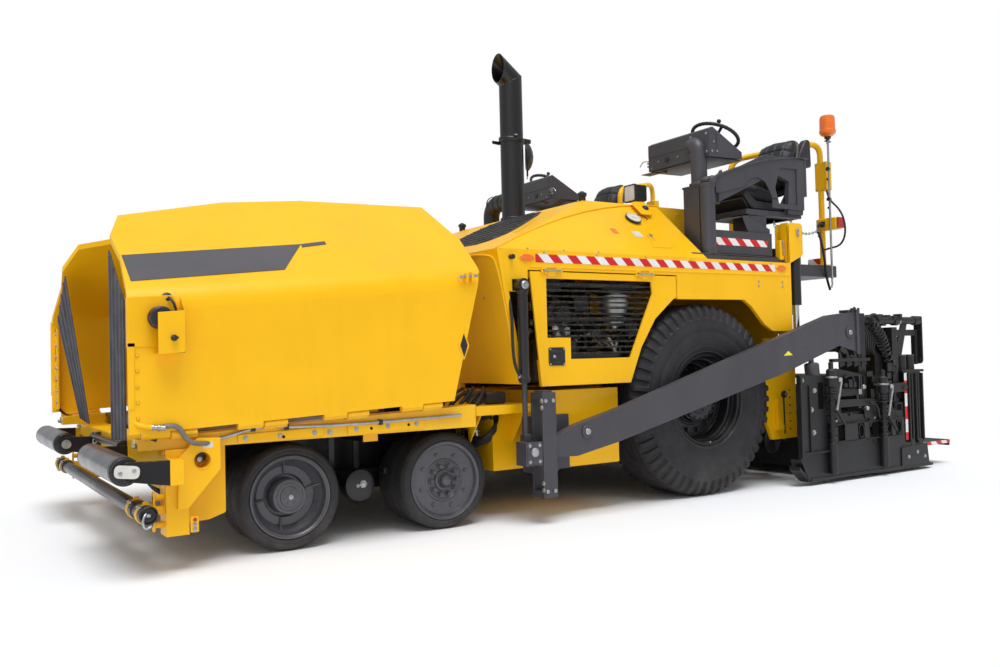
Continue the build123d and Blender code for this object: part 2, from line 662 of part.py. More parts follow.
# ---------------------------------------------------------------- deck and rails behind the hood
deck_top_z = 1700
deck_end_x = -1850
deck_half = body_half - 40
deck_rear_half = 1080
with BuildPart() as deck:
    block(body_rear_x, hood_rear_x, -deck_half, deck_half, belt_z, deck_top_z)
    for s in (1, -1):
        block(hood_rear_x, hood_slope_rear_x, s * hood_top_half, s * deck_half, belt_z, deck_top_z)
    block(deck_end_x, body_rear_x, -deck_rear_half, deck_rear_half, belt_z - 60, deck_top_z)
save(deck.part, "deck")

rail_r = 24
with BuildPart() as guard_rails:
    for s in (1, -1):
        tube([(-1750, s * 100, deck_top_z), (-1750, s * 100, 2750), (-1750, s * 1030, 2750),
              (-1750, s * 1030, deck_top_z)], rail_r, 120)
save(guard_rails.part, "guard_rails")

# lift posts: channels that carry the screed's lift cylinders
lift_head_z = 1980
lift_barrel_r = 44
lift_barrel_bottom_z = 1350
lift_barrel_top_z = 1920
lift_pin_z = 1900
lift_rod_r = 24
lift_eye_z = 1030
lift_travel = 380
lift_half_x = 75
lift_plate = 12
with BuildPart() as lift_posts:
    for y in (lift_y - lift_barrel_r - 10, lift_y + lift_barrel_r + 10 + lift_plate):
        plate(side(y), [(lift_x + lift_half_x, deck_top_z), (lift_x - lift_half_x, deck_top_z),
                        (lift_x - lift_half_x, lift_head_z - 40), (lift_x - 40, lift_head_z),
                        (lift_x + 40, lift_head_z), (lift_x + lift_half_x, lift_head_z - 50)],
              lift_plate)
    block(lift_x - lift_half_x, lift_x - lift_half_x + lift_plate, lift_y - lift_barrel_r - 10,
          lift_y + lift_barrel_r + 10, deck_top_z, lift_head_z - 60)
    # foot bracket on the deck's edge
    block(lift_x - lift_half_x, body_rear_x, deck_rear_half, lift_y - lift_barrel_r - 10,
          deck_top_z - 50, deck_top_z)
    block(lift_x - lift_half_x, lift_x + lift_half_x, deck_rear_half,
          lift_y - lift_barrel_r - 10, deck_top_z, deck_top_z + 30)
    mirror(about=Plane.XZ)
save(lift_posts.part, "lift_posts")

# ---------------------------------------------------------------- exhaust, intake and mast
exhaust_x = 510
exhaust_y = -250
exhaust_r = 95
exhaust_top_z = 3440
with BuildPart() as exhaust_stack:
    post(exhaust_x, exhaust_y, hood_top_z, exhaust_top_z - 2 * exhaust_r, exhaust_r)
    plate(side(exhaust_y + exhaust_r), [(exhaust_x - exhaust_r, exhaust_top_z - 2 * exhaust_r),
                                        (exhaust_x + exhaust_r, exhaust_top_z - 2 * exhaust_r),
                                        (exhaust_x + exhaust_r + 60, exhaust_top_z - 60),
                                        (exhaust_x + 10, exhaust_top_z)], 2 * exhaust_r)
    post(exhaust_x, exhaust_y, 2980, 3040, exhaust_r + 26)
save(exhaust_stack.part, "exhaust_stack")

with BuildPart() as air_intake:
    tube([(400, -760, hood_top_z), (400, -760, 2330), (400, -500, 2330)], 70, 110)
save(air_intake.part, "air_intake")

mast_x = -1700
mast_y = 1150
with BuildPart() as beacon_mast:
    post(mast_x, mast_y, 1650, 2740, 11)
    post(mast_x, mast_y, 2740, 2760, 40)
    block(mast_x - 20, mast_x + 20, 1080, mast_y, 1650, 1690)
    block(mast_x - 50 - 6, mast_x + 6, 1030 + rail_r, mast_y - 6, 2360, 2380)
    post(mast_x, mast_y, 2760, 2930, 55)
save(beacon_mast.part, "beacon_mast")

# ---------------------------------------------------------------- operator's stations
# a station turns outwards on its pivot post, which stands on the belt
console_front_x = -160
console_rear_x = -500
console_inner_y = 660
console_outer_y = 1300
seat_z = 2100
station_floor_z = 1720
station_rear_x = -800
with BuildPart() as pivot_posts:
    post(station_pivot_x, station_pivot_y, deck_top_z, 2240, pivot_r)
    block(station_pivot_x - 60, station_pivot_x + 60, station_pivot_y - 90, station_pivot_y + 38,
          deck_top_z, deck_top_z + 16)
    mirror(about=Plane.XZ)
save(pivot_posts.part, "pivot_posts")

with BuildPart() as station:
    # sleeves on the pivot post
    for z0, z1 in ((1740, 1900), (2060, 2220)):
        post(station_pivot_x, station_pivot_y, z0, z1, pivot_r + 16)
        post(station_pivot_x, station_pivot_y, z0, z1, pivot_r + running_gap, mode=Mode.SUBTRACT)
    # upright box and foot beam
    block(station_pivot_x - 45, station_pivot_x + 45, 1090, 1245, station_floor_z, 2220)
    block(station_rear_x, station_pivot_x - 45, 1050, 1300, station_floor_z, 1890)
    # side frame of the seat
    plate(side(1315), [(-230, 2090), (-230, 2180), (-900, 2480), (-1190, 2440),
                       (-1190, 2300), (-1150, 2050), (-980, 2050), (-1000, 2300),
                       (-840, 2350)], 40)
    block(station_pivot_x - 110, station_pivot_x - 45, 1200, 1300, 2080, 2220)
    # seat carrier on its column
    block(-1180, -560, wheel_hub_y - 230, 1275, seat_z - 70, seat_z - 30)
    block(-780, -600, 1100, 1270, 1890, seat_z - 70)
save_pair(station.part, "station")

steering_tilt = 25.0        # lean of the wheel's axis towards the seat
wheel_hub_half = 20
wheel_spindle_r = 10
wheel_axis = (-sin(radians(steering_tilt)), 0, cos(radians(steering_tilt)))
wheel_plane = Plane(origin=(axle_x + wheel_hub_x, wheel_hub_y, wheel_hub_z), x_dir=(0, 1, 0),
                    z_dir=wheel_axis)
with BuildPart() as console:
    plate(side(console_outer_y), [(console_front_x, 2420), (console_front_x, 2620),
                                  (console_front_x - 40, 2640), (console_rear_x, 2480),
                                  (console_rear_x, 2430)], console_outer_y - console_inner_y)
    # pipe from the upright box to the console
    post(station_pivot_x - 5, 1205, 2220, 2300, 36)
    tube([(station_pivot_x - 5, 1205, 2300), (station_pivot_x - 5, 1205, 2530),
          (console_front_x - 140, 1205, 2530)], 36, 80)
    # steering column, with the spindle the wheel turns on
    with BuildSketch(wheel_plane.offset(-170)) as column:
        Circle(24)
    extrude(column.sketch, amount=170 - wheel_hub_half - seat_gap)
    with BuildSketch(wheel_plane.offset(-170)) as spindle:
        Circle(wheel_spindle_r)
    extrude(spindle.sketch, amount=170 + wheel_hub_half / 2)
save_pair(console.part, "console")

with BuildPart() as steering_wheel:
    with BuildSketch(wheel_plane) as hub:
        Circle(34)
    extrude(hub.sketch, amount=wheel_hub_half, both=True)
    with BuildSketch(wheel_plane) as spokes:
        for angle in (90, 210, 330):
            with Locations(Location((0, 0), angle)):
                with Locations((steering_wheel_r / 2, 0)):
                    Rectangle(steering_wheel_r - 8, 24)
    extrude(spokes.sketch, amount=5, both=True)
    with BuildSketch(wheel_plane) as ring:
        Circle(steering_wheel_r)
        Circle(steering_wheel_r - 28, mode=Mode.SUBTRACT)
    extrude(ring.sketch, amount=13, both=True)
    with BuildSketch(wheel_plane.offset(-wheel_hub_half - 1)) as bore:
        Circle(wheel_spindle_r + running_gap)
    extrude(bore.sketch, amount=1 + 1.5 * wheel_hub_half + 1, mode=Mode.SUBTRACT)
save_pair(steering_wheel.part, "steering_wheel")

with BuildPart() as seat_cushion:
    block(-1190, -760, 850, 1250, seat_z - 30 + seat_gap, 2210)
    plate(side(1250), [(-1190, 2210), (-1100, 2210), (-1230, 2700), (-1330, 2690)], 400)
save_pair(seat_cushion.part, "seat_cushion")

# ---------------------------------------------------------------- tow points
guide_plate_thick = 15
guide_top_z = 790
guide_bottom_z = 160
guide_half_x = 50
guide_inner_y = 1400
slider_front_x = tow_pin_x + 75
with BuildPart() as tow_guides:
    for y in (guide_inner_y, guide_outer_y - guide_plate_thick):
        block(guide_x - guide_half_x, guide_x + guide_half_x, y, y + guide_plate_thick,
              guide_bottom_z, guide_top_z)
    for z0, z1 in ((guide_bottom_z, guide_bottom_z + 40), (guide_top_z - 40, guide_top_z)):
        block(guide_x - guide_half_x, guide_x + guide_half_x, guide_inner_y,
              guide_outer_y - 1, z0, z1)
    # backing plates to the tank
    block(1330, guide_x + guide_half_x, 1300 - 1, guide_inner_y, 300, 640)
    block(1200, 1330, 1300, 1340, 300, 640)
    mirror(about=Plane.XZ)
save(tow_guides.part, "tow_guides")

ear_gap = 3
ear_thick = 20
slider_half_z = 70
rod_top_z = 1100
tow_travel = 120
inner_ear_y = arm_inner_y - ear_gap - ear_thick
outer_ear_y = arm_outer_y + ear_gap
with BuildPart() as tow_points:
    # a fork round the arm's eye, with its pin
    for y0 in (inner_ear_y, outer_ear_y):
        block(guide_x + guide_half_x + move_gap, slider_front_x, y0, y0 + ear_thick,
              tow_pin_z - slider_half_z, tow_pin_z + slider_half_z)
    block(slider_front_x - 20, slider_front_x, inner_ear_y, outer_ear_y + ear_thick,
          tow_pin_z - slider_half_z, tow_pin_z + slider_half_z)
    cross_bar(tow_pin_x, tow_pin_z, inner_ear_y, outer_ear_y + ear_thick, tow_pin_r)
    # rod of the tow cylinder
    post(tow_pin_x, tow_cylinder_y, tow_pin_z + slider_half_z, rod_top_z, tow_rod_r)
    block(tow_pin_x - 24, tow_pin_x + 24, tow_cylinder_y - 24, inner_ear_y + ear_thick,
          tow_pin_z + slider_half_z - 40, tow_pin_z + slider_half_z + 40)
    mirror(about=Plane.XZ)
save(tow_points.part, "tow_points")

barrel_bottom_z = 850
barrel_top_z = 1400
cylinder_eye_z = 1440
with BuildPart() as tow_cylinders:
    post(tow_pin_x, tow_cylinder_y, barrel_bottom_z, barrel_top_z, tow_cylinder_r)
    post(tow_pin_x, tow_cylinder_y, barrel_bottom_z - 1, rod_top_z + tow_travel + 10,
         tow_rod_r + running_gap, mode=Mode.SUBTRACT)
    cross_bar(tow_pin_x, cylinder_eye_z, tow_cylinder_y - 26, tow_cylinder_y + 26, 42)
    cross_bar(tow_pin_x, cylinder_eye_z, body_half, tow_cylinder_y - 26, 18)
    block(tow_pin_x - 45, tow_pin_x + 45, body_half, body_half + 6, cheek_z + 4, cylinder_eye_z + 40)
    mirror(about=Plane.XZ)
save(tow_cylinders.part, "tow_cylinders")

# ---------------------------------------------------------------- tow arms
arm_thick_y = arm_outer_y - arm_inner_y
arm_outline = [(1470, 500), (1260, 580), (910, 665), (-1190, 1262), (-1500, 1292), (-1500, 980),
               (-1300, 1030), (-630, 830), (920, 455), (1260, 390), (1470, 400)]
eye_outer_r = 46
arm_end_x = -1500
with BuildPart() as tow_arms:
    plate(side(arm_outer_y), arm_outline, arm_thick_y)
    cross_bar(tow_pin_x, tow_pin_z, arm_inner_y, arm_outer_y, eye_outer_r)
    block(1460, tow_pin_x, arm_inner_y, arm_outer_y, tow_pin_z - 34, tow_pin_z + 34)
    cross_bar(tow_pin_x, tow_pin_z, arm_inner_y, arm_outer_y, tow_pin_r + running_gap,
              mode=Mode.SUBTRACT)
    # end plate and the bracket down to the screed
    block(arm_end_x - 30, arm_end_x, arm_inner_y - 30, arm_outer_y + 12, 960, 1310)
    # shelf bracket under the lift cylinder's eye
    block(lift_x - 45, lift_x + 45, lift_y - 30, arm_inner_y, lift_eye_z - 64, lift_eye_z - 38)
    mirror(about=Plane.XZ)
save(tow_arms.part, "tow_arms")

# ---------------------------------------------------------------- screed
screed_front_x = -1280
screed_mid_x = -1960
screed_rear_x = -2330
screed_body_top_z = 520
plate_thick = end_gate_y - screed_half
frame_top_z = 1150
with BuildPart() as screed_frame:
    # main box with its sole
    block(screed_mid_x, screed_front_x, -screed_half, screed_half, screed_bottom_z, 330)
    block(screed_mid_x, screed_front_x - 60, -screed_half, screed_half, 330, screed_body_top_z)
    # uprights that bolt to the tow arms
    for s in (1, -1):
        block(-1620, arm_end_x - 30, s * (arm_inner_y - 130), s * (arm_outer_y - 4), 480, frame_top_z + 130)
        block(-1960, -1620, s * (arm_inner_y - 130), s * (arm_inner_y - 30), 950, frame_top_z + 60)
        block(-1960, -1860, s * (arm_inner_y - 130), s * (arm_inner_y - 30), screed_body_top_z, 950)
    # upper cross beam
    block(-1860, -1740, -(arm_inner_y - 130), arm_inner_y - 130, 980, 1100)
save(screed_frame.part, "screed_frame")

extension_gap = 2
walkway_hinge_x = screed_rear_x - 22
walkway_hinge_z = 190
walkway_hinge_r = 14
walkway_hinge_y = (-1100, -400, 400, 1100)
with BuildPart() as screed_extensions:
    for s in (1, -1):
        block(screed_rear_x, screed_mid_x - extension_gap, s * 4, s * screed_half, screed_bottom_z, 560)
        block(screed_rear_x, -2120, s * (screed_half - 220), s * screed_half, 560, 800)
        # shelf with two lock cylinders
        block(screed_rear_x - 50, -2090, s * (screed_half - 240), s * screed_half, 800, 820)
        for x in (-2180, -2290):
            post(x, s * (screed_half - 70), 820, 930, 38)
        # bracket for the crank's gearbox
        block(-2060, -1990, s * (screed_half - 140), s * (screed_half - 20), 560, 1170)
        block(-2400, -1990, s * (screed_half - 100), s * (screed_half - 60), 1100, 1150)
        block(-2400, -2370, s * (screed_half - 100), s * (screed_half - 60), 860, 1100)
    # fixed knuckles and pins of the walkway's hinges
    for y in walkway_hinge_y:
        cross_bar(walkway_hinge_x, walkway_hinge_z, y - 50, y, walkway_hinge_r)
        block(walkway_hinge_x, screed_rear_x, y - 50, y, walkway_hinge_z - 10, walkway_hinge_z + 10)
        cross_bar(walkway_hinge_x, walkway_hinge_z, y - 50, y + 50, 7)
save(screed_extensions.part, "screed_extensions")

gate_front_x = -780
ski_half_z = 13
ski_inner_y = screed_half - 70
with BuildPart() as end_gates:
    for s in (1, -1):
        y_high = max(s * end_gate_y, s * screed_half)
        plate(side(y_high), [(gate_front_x, 190), (gate_front_x - 90, 2 * ski_half_z + 14),
                             (screed_rear_x - 40, 2 * ski_half_z + 14), (screed_rear_x - 20, 210),
                             (-2050, 240), (-2050, 440), (-1250, 520), (-1250, 800),
                             (gate_front_x, 820)], plate_thick)
        # ski along the foot, turned up at its nose
        block(screed_rear_x - 60, gate_front_x - 90, s * ski_inner_y, s * end_gate_y,
              14 + 14, 14 + 14 + 2 * ski_half_z)
        y_high = max(s * end_gate_y, s * ski_inner_y)
        plate(side(y_high), [(gate_front_x - 90, 28), (gate_front_x + 20, 120), (gate_front_x + 20, 150),
                             (gate_front_x - 90, 54)], end_gate_y - ski_inner_y)
save(end_gates.part, "end_gates")

with BuildPart() as lift_cylinders:
    post(lift_x, lift_y, lift_barrel_bottom_z, lift_barrel_top_z, lift_barrel_r)
    post(lift_x, lift_y, lift_barrel_bottom_z - 1, lift_barrel_top_z - 30, lift_rod_r + running_gap,
         mode=Mode.SUBTRACT)
    cross_bar(lift_x, lift_pin_z, lift_y - lift_barrel_r - 10, lift_y + lift_barrel_r + 10, 14)
    mirror(about=Plane.XZ)
save(lift_cylinders.part, "lift_cylinders")

with BuildPart() as lift_rods:
    post(lift_x, lift_y, lift_eye_z, lift_barrel_top_z - 40 - lift_travel, lift_rod_r)
    cross_bar(lift_x, lift_eye_z, lift_y - 22, lift_y + 22, 36)
    mirror(about=Plane.XZ)
save(lift_rods.part, "lift_rods")

walkway_half = 1420
walkway_thick = 12
with BuildPart() as walkway:
    block(-rear_reach, walkway_hinge_x - 24, -walkway_half, walkway_half,
          walkway_hinge_z - walkway_thick / 2, walkway_hinge_z + walkway_thick / 2)
    block(-rear_reach, -rear_reach + 20, -walkway_half, walkway_half, walkway_hinge_z - 40,
          walkway_hinge_z)
    for y in walkway_hinge_y:
        cross_bar(walkway_hinge_x, walkway_hinge_z, y + 2, y + 50, walkway_hinge_r)
        block(walkway_hinge_x - 40, walkway_hinge_x, y + 2, y + 50, walkway_hinge_z - walkway_thick / 2,
              walkway_hinge_z + walkway_thick / 2)
        cross_bar(walkway_hinge_x, walkway_hinge_z, y - 50, y + 51, 7 + running_gap, mode=Mode.SUBTRACT)
save(walkway.part, "walkway")

# ---------------------------------------------------------------- auger between tractor and screed
flight_pitch = 220
flight_thick = 12
with BuildPart() as auger:
    for s in (1, -1):
        cross_bar(auger_x, auger_z, s * (auger_box_half + move_gap), s * auger_half, auger_shaft_r)
        for i in range(5):
            y = 160 + flight_pitch * i
            cross_bar(auger_x, auger_z, s * y, s * (y + flight_thick), auger_flight_r)
        cross_bar(auger_x, auger_z, s * auger_box_half, s * (auger_box_half + 91),
                  auger_stub_r + running_gap, mode=Mode.SUBTRACT)
save(auger.part, "auger")
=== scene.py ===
import math

import bmesh
import bpy
import numpy as np
from mathutils import Matrix, Vector


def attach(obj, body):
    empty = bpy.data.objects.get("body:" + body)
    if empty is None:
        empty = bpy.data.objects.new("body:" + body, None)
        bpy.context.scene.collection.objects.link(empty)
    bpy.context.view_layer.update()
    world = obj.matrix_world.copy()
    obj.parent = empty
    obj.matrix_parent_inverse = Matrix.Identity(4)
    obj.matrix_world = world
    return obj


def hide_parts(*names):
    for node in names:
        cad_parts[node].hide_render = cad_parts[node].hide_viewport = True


bl_info = {
    "name": "Wheeled paver finish",
    "version": (1, 0, 0),
    "blender": (4, 5, 0),
    "location": "View3D > Sidebar > Paver",
    "description": "Finished surfaces of a wheeled asphalt paver, built round its packed solids",
    "category": "Object",
}

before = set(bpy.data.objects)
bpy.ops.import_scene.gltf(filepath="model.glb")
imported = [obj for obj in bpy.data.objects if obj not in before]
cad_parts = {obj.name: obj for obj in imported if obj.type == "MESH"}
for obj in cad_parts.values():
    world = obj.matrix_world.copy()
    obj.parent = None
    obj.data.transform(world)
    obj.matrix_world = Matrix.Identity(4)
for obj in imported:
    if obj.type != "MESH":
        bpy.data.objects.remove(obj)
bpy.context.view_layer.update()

AXLE_X = -0.540          # drive axle from the middle of the length, metres
MM = 0.001
WHEEL_Z, BOGIE_Z = 674, 286   # heights of the drive and the bogie axles, mm
SIDES = (("left", 1), ("right", -1))
TAU = 2 * math.pi


# ---------------------------------------------------------------- places

def at(x, y, z):
    """Millimetres from the drive axle, the middle and the ground, to metres in the row frame."""
    return np.stack(np.broadcast_arrays(np.asarray(x, float) * MM + AXLE_X, np.asarray(y, float)
        * MM, np.asarray(z, float) * MM), -1)


def unit(v):
    """Each vector divided by its own length."""
    v = np.asarray(v, float)
    return v / np.maximum(np.linalg.norm(v, axis=-1, keepdims=True), 1e-12)


def mm(values):
    """Millimetres as an array of metres."""
    return np.array(values) * MM


def upright(x0, z0, x1, z1):
    """Corners of an oblong, its first side along the second direction."""
    return [(x0, z0), (x0, z1), (x1, z1), (x1, z0)]


def oblong(x0, z0, x1, z1):
    """Corners of an oblong, its first side along the first direction."""
    return [(x0, z0), (x1, z0), (x1, z1), (x0, z1)]


def axes_along(axis, up=(0, 0, 1)):
    """Three square directions (a, b, c): c is the axis, a is across it and b nearest to up."""
    c = unit(axis)
    up = np.asarray(up, float)
    if abs(c @ unit(up)) > 0.95:
        up = np.array([1.0, 0, 0])
    a = unit(np.cross(up, c))
    return a, np.cross(c, a), c


# ---------------------------------------------------------------- shapes

class Shape:
    """Grids gathered into one mesh: points, faces, and the finish that each face takes."""

    def __init__(self):
        self.points, self.faces, self.finish, self.count = [], [], [], 0

    def add(self, points, faces, finish=0):
        """Adds points and faces, numbered from this group's own first point."""
        points = np.asarray(points, float).reshape(-1, 3)
        for group in faces:
            group = np.asarray(group, int) + self.count
            self.faces += group.tolist()
            self.finish += [finish] * len(group)
        self.points.append(points)
        self.count += len(points)
        return self

    def copies(self, points, faces, places, finish=0):
        """The same small mesh set down at many places, by broadcasting."""
        points = np.asarray(points, float)
        places = np.asarray(places, float).reshape(-1, 3)
        moved = points[None] + places[:, None]
        step = np.arange(len(places))[:, None, None] * len(points)
        return self.add(moved, [(np.asarray(g, int)[None] + step).reshape(-1, np.shape(g)[1])
            for g in faces], finish)


def quads(rows, cols, wrap_rows=False, wrap_cols=False):
    """Faces of a rows by cols grid; a wrapped direction joins its last line to its first."""
    i = np.arange(rows if wrap_rows else rows - 1)[:, None]
    j = np.arange(cols if wrap_cols else cols - 1)[None, :]
    i2, j2 = (i + 1) % rows, (j + 1) % cols
    return np.stack(np.broadcast_arrays(i * cols + j, i * cols + j2, i2 * cols + j2, i2 * cols
        + j), -1).reshape(-1, 4)


def rings(grid, capped=True):
    """Faces of closed rings set one after another, with a flat cap on the first and the last."""
    rows, cols = grid.shape[:2]
    faces = [quads(rows, cols, wrap_cols=True)]
    if capped:
        faces += [np.arange(cols)[None, ::-1], (np.arange(cols) + (rows - 1) * cols)[None]]
    return faces


def carried(path, closed=False):
    """Square axes at each point of a path: the first is turned onto each next tangent by the
    smallest turn, so that nothing twists."""
    path = np.asarray(path, float)
    tangent = np.roll(path, -1, 0) - np.roll(path, 1, 0) if closed else np.gradient(path, axis=0)
    tangent = unit(tangent)
    side = [axes_along(tangent[0])[0]]
    for t in tangent[1:]:
        a = unit(side[-1] - t * (side[-1] @ t))
        side.append(a)
    side = np.array(side)
    return side, np.cross(tangent, side), tangent


def sweep(shape, path, profile, finish=0, closed=False):
    """A closed profile of (across, up) pairs carried along a path."""
    side, up, _ = carried(path, closed)
    profile = np.asarray(profile, float)
    grid = (np.asarray(path)[:, None] + side[:, None] * profile[None, :, :1] + up[:, None]
        * profile[None, :, 1:])
    if closed:
        return shape.add(grid, [quads(*grid.shape[:2], True, True)], finish)
    return shape.add(grid, rings(grid), finish)


def tube(shape, path, radius, finish=0, sides=12, closed=False):
    """A round bar of one radius, or of a radius per point, carried along a path."""
    turn = np.arange(sides) * TAU / sides
    circle = np.stack([np.cos(turn), np.sin(turn)], -1)
    side, up, _ = carried(path, closed)
    r = np.broadcast_to(np.asarray(radius, float), len(path))[:, None, None]
    grid = (np.asarray(path)[:, None] + r * (side[:, None] * circle[None, :, :1] + up[:, None]
        * circle[None, :, 1:]))
    if closed:
        return shape.add(grid, [quads(*grid.shape[:2], True, True)], finish)
    return shape.add(grid, rings(grid), finish)


def bent(points, count=8):
    """A smooth line held at both ends: quadratic B-spline spans between middles of the runs."""
    p = np.asarray(points, float)
    if len(p) < 3:
        return np.linspace(p[0], p[-1], max(count, 2))
    mid = (p[:-1] + p[1:]) / 2
    mid[0], mid[-1] = p[0], p[-1]
    t = np.linspace(0, 1, count, endpoint=False)[None, :, None]
    span = (mid[:-1, None] * (1 - t) ** 2 + p[1:-1, None] * 2 * t * (1 - t) + mid[1:, None]
        * t ** 2)
    return np.vstack([span.reshape(-1, 3), p[-1:]])


def ring_line(centre, axis, radius, count=32, start=0.0, turn=TAU):
    """Points of a circle, or an arc of it, about an axis."""
    a, b, _ = axes_along(axis)
    t = start + np.arange(count) * turn / (count if turn == TAU else count - 1)
    return np.asarray(centre) + radius * (a * np.cos(t)[:, None] + b * np.sin(t)[:, None])


def turned(shape, centre, axis, profile, finish=0, sides=32, flutes=None):
    """A profile of (radius, distance along the axis) pairs turned about the axis. flutes, where
    given, is a function of angle and row that scales the radius."""
    a, b, c = axes_along(axis)
    profile = np.asarray(profile, float)
    t = np.arange(sides) * TAU / sides
    r = np.broadcast_to(profile[:, :1], (len(profile), sides)).copy()
    if flutes is not None:
        r *= flutes(t[None, :], np.arange(len(profile))[:, None])
    grid = (np.asarray(centre) + r[..., None] * (a * np.cos(t)[:, None] + b * np.sin(t)[:, None])
        + profile[:, 1, None, None] * c)
    return shape.add(grid, rings(grid), finish)


def knob(shape, x, z, s, profile, finish=0, sides=32, flutes=None):
    """A turned part about a sideways axis at (x, z): (radius, distance from the middle) pairs
    in millimetres, on the side s."""
    return turned(shape, at(x, 0, z), (0, s, 0), mm(profile), finish, sides, flutes)


def loop_turned(shape, centre, axis, profile, finish=0, sides=48):
    """A closed profile of (radius, along) pairs turned about the axis, like a tyre or a ring."""
    a, b, c = axes_along(axis)
    profile = np.asarray(profile, float)
    t = np.arange(sides) * TAU / sides
    grid = (np.asarray(centre) + profile[None, :, :1] * (a * np.cos(t)[:, None] + b
        * np.sin(t)[:, None])[:, None] + profile[None, :, 1:] * c)
    return shape.add(grid, [quads(sides, len(profile), True, True)], finish)


def eased(outline, radius, steps=3):
    """An outline whose corners are replaced by short curves, radius back along both sides."""
    p = np.asarray(outline, float)
    before, after = np.roll(p, 1, 0) - p, np.roll(p, -1, 0) - p
    reach = np.minimum(radius, 0.45 * np.minimum(np.linalg.norm(before, axis=1),
        np.linalg.norm(after, axis=1)))[:, None]
    start, end = p + unit(before) * reach, p + unit(after) * reach
    t = np.linspace(0, 1, steps)[None, :, None]
    curve = start[:, None] * (1 - t) ** 2 + p[:, None] * 2 * t * (1 - t) + end[:, None] * t ** 2
    return curve.reshape(-1, 2)


def shrunk(outline, amount):
    """An outline moved inwards by amount, each corner along the mitre of its two sides."""
    p = np.asarray(outline, float)
    area = np.sum(p[:, 0] * np.roll(p[:, 1], -1) - np.roll(p[:, 0], -1) * p[:, 1])
    along = unit(np.roll(p, -1, 0) - p)
    inward = np.stack([-along[:, 1], along[:, 0]], -1) * np.sign(area)
    mitre = unit(inward + np.roll(inward, 1, 0))
    cosine = np.clip(np.sum(mitre * inward, -1, keepdims=True), 0.35, 1)
    return p + mitre * amount / cosine


def prism(shape, outline, origin, across, up, depth, bevel=0.002, finish=0):
    """A flat outline of (across, up) pairs carried depth along the square of the two, with both
    rims cut back by a bevel. Outline and bevel are in metres."""
    across, up = unit(across), unit(up)
    out = np.cross(across, up) * depth
    bevel = min(bevel, abs(depth) * 0.3) if depth else bevel
    inner = shrunk(outline, bevel)
    share = bevel / max(abs(depth), 1e-9)
    rows = [(inner, 0), (outline, share), (outline, 1 - share), (inner, 1)]
    grid = np.stack([np.asarray(origin) + o[:, :1] * across + o[:, 1:] * up + out * k for o,
        k in ((np.asarray(o, float), k) for o, k in rows)])
    return shape.add(grid, rings(grid), finish)


def block(shape, low, high, bevel=0.004, finish=0, corner=2):
    """An upright block between two corners in the row frame, with eased edges all round."""
    low, high = np.minimum(low, high), np.maximum(low, high)
    sx, sy, sz = high - low
    bevel = min(bevel, 0.3 * min(sx, sy, sz))
    outline = eased(oblong(0, 0, sx, sy), bevel, corner)
    return prism(shape, outline, low, (1, 0, 0), (0, 1, 0), sz, bevel, finish)


def bolts(shape, places, axis, radius=0.010, height=0.008, finish=0, washer=True, sides=6):
    """Hexagon or round heads on washers: a stepped profile turned in few steps, set down at
    each place."""
    a, b, c = axes_along(axis)
    t = np.arange(sides) * TAU / sides
    steps = [(radius, 0.25 * height), (radius, height * 0.85), (radius * 0.82, height)]
    if washer:
        steps = [(radius * 1.45, 0), (radius * 1.45, 0.25 * height)] + steps
    else:
        steps[0] = (radius, 0)
    p = np.array(steps)
    grid = (p[:, :1, None] * (a * np.cos(t)[:, None] + b * np.sin(t)[:, None])[None]
        + p[:, 1:, None] * c)
    return shape.copies(grid.reshape(-1, 3), rings(grid), places, finish)


def along(start, end, count):
    """Evenly spaced points from one place to another."""
    return np.linspace(np.asarray(start, float), np.asarray(end, float), count)


def chain(shape, path, wire, finish=0):
    """Oval links along a line, each turned a quarter from the one before."""
    path = np.asarray(path, float)
    steps = np.r_[0, np.cumsum(np.linalg.norm(np.diff(path, axis=0), axis=1))]
    pitch = wire * 4.2
    where = np.arange(pitch / 2, steps[-1], pitch)
    mid = np.stack([np.interp(where, steps, path[:, k]) for k in range(3)], -1)
    ahead = np.stack([np.interp(where + pitch / 4, steps, path[:, k]) for k in range(3)], -1)
    t = np.arange(14) * TAU / 14
    for n, (m, q) in enumerate(zip(mid, ahead)):
        a, b, c = axes_along(q - m)
        wide = a if n % 2 else b
        oval = m + wire * (1.5 * wide * np.cos(t)[:, None] + 2.6 * c * np.sin(t)[:, None])
        tube(shape, oval, wire / 2, finish, 6, closed=True)
    return shape


def piece(name, body, shape, finishes, replaces=(), sharp=32):
    """Puts a shape into a mesh at the origin, with its doubles merged and its faces outwards, and
    lets it ride on a body. The finishes are names of looks."""
    mesh = bpy.data.meshes.new(name)
    mesh.from_pydata(np.vstack(shape.points).tolist(), [], shape.faces)
    mesh.polygons.foreach_set("material_index", np.array(shape.finish, np.int32))
    for finish in finishes:
        mesh.materials.append(look(finish))
    work = bmesh.new()
    work.from_mesh(mesh)
    bmesh.ops.remove_doubles(work, verts=work.verts, dist=1e-6)
    bmesh.ops.dissolve_degenerate(work, edges=work.edges, dist=1e-7)
    bmesh.ops.recalc_face_normals(work, faces=work.faces)
    work.to_mesh(mesh)
    work.free()
    mesh.polygons.foreach_set("use_smooth", np.ones(len(mesh.polygons), bool))
    mesh.set_sharp_from_angle(angle=math.radians(sharp))
    obj = bpy.data.objects.new(name, mesh)
    bpy.context.scene.collection.objects.link(obj)
    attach(obj, body)
    if replaces:
        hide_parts(*replaces)
    return obj


def mirrored(points, s):
    """The same points on the left (s = 1) or on the right (s = -1)."""
    points = np.array(points, float)
    points[..., 1] *= s
    return points


def hose(shape, points, s, count, radius, finish=0, sides=12):
    """A smooth round run through points given for the left side."""
    return tube(shape, bent(mirrored([at(*p) for p in points], s), count), radius, finish, sides)


# ---------------------------------------------------------------- sizes and colours

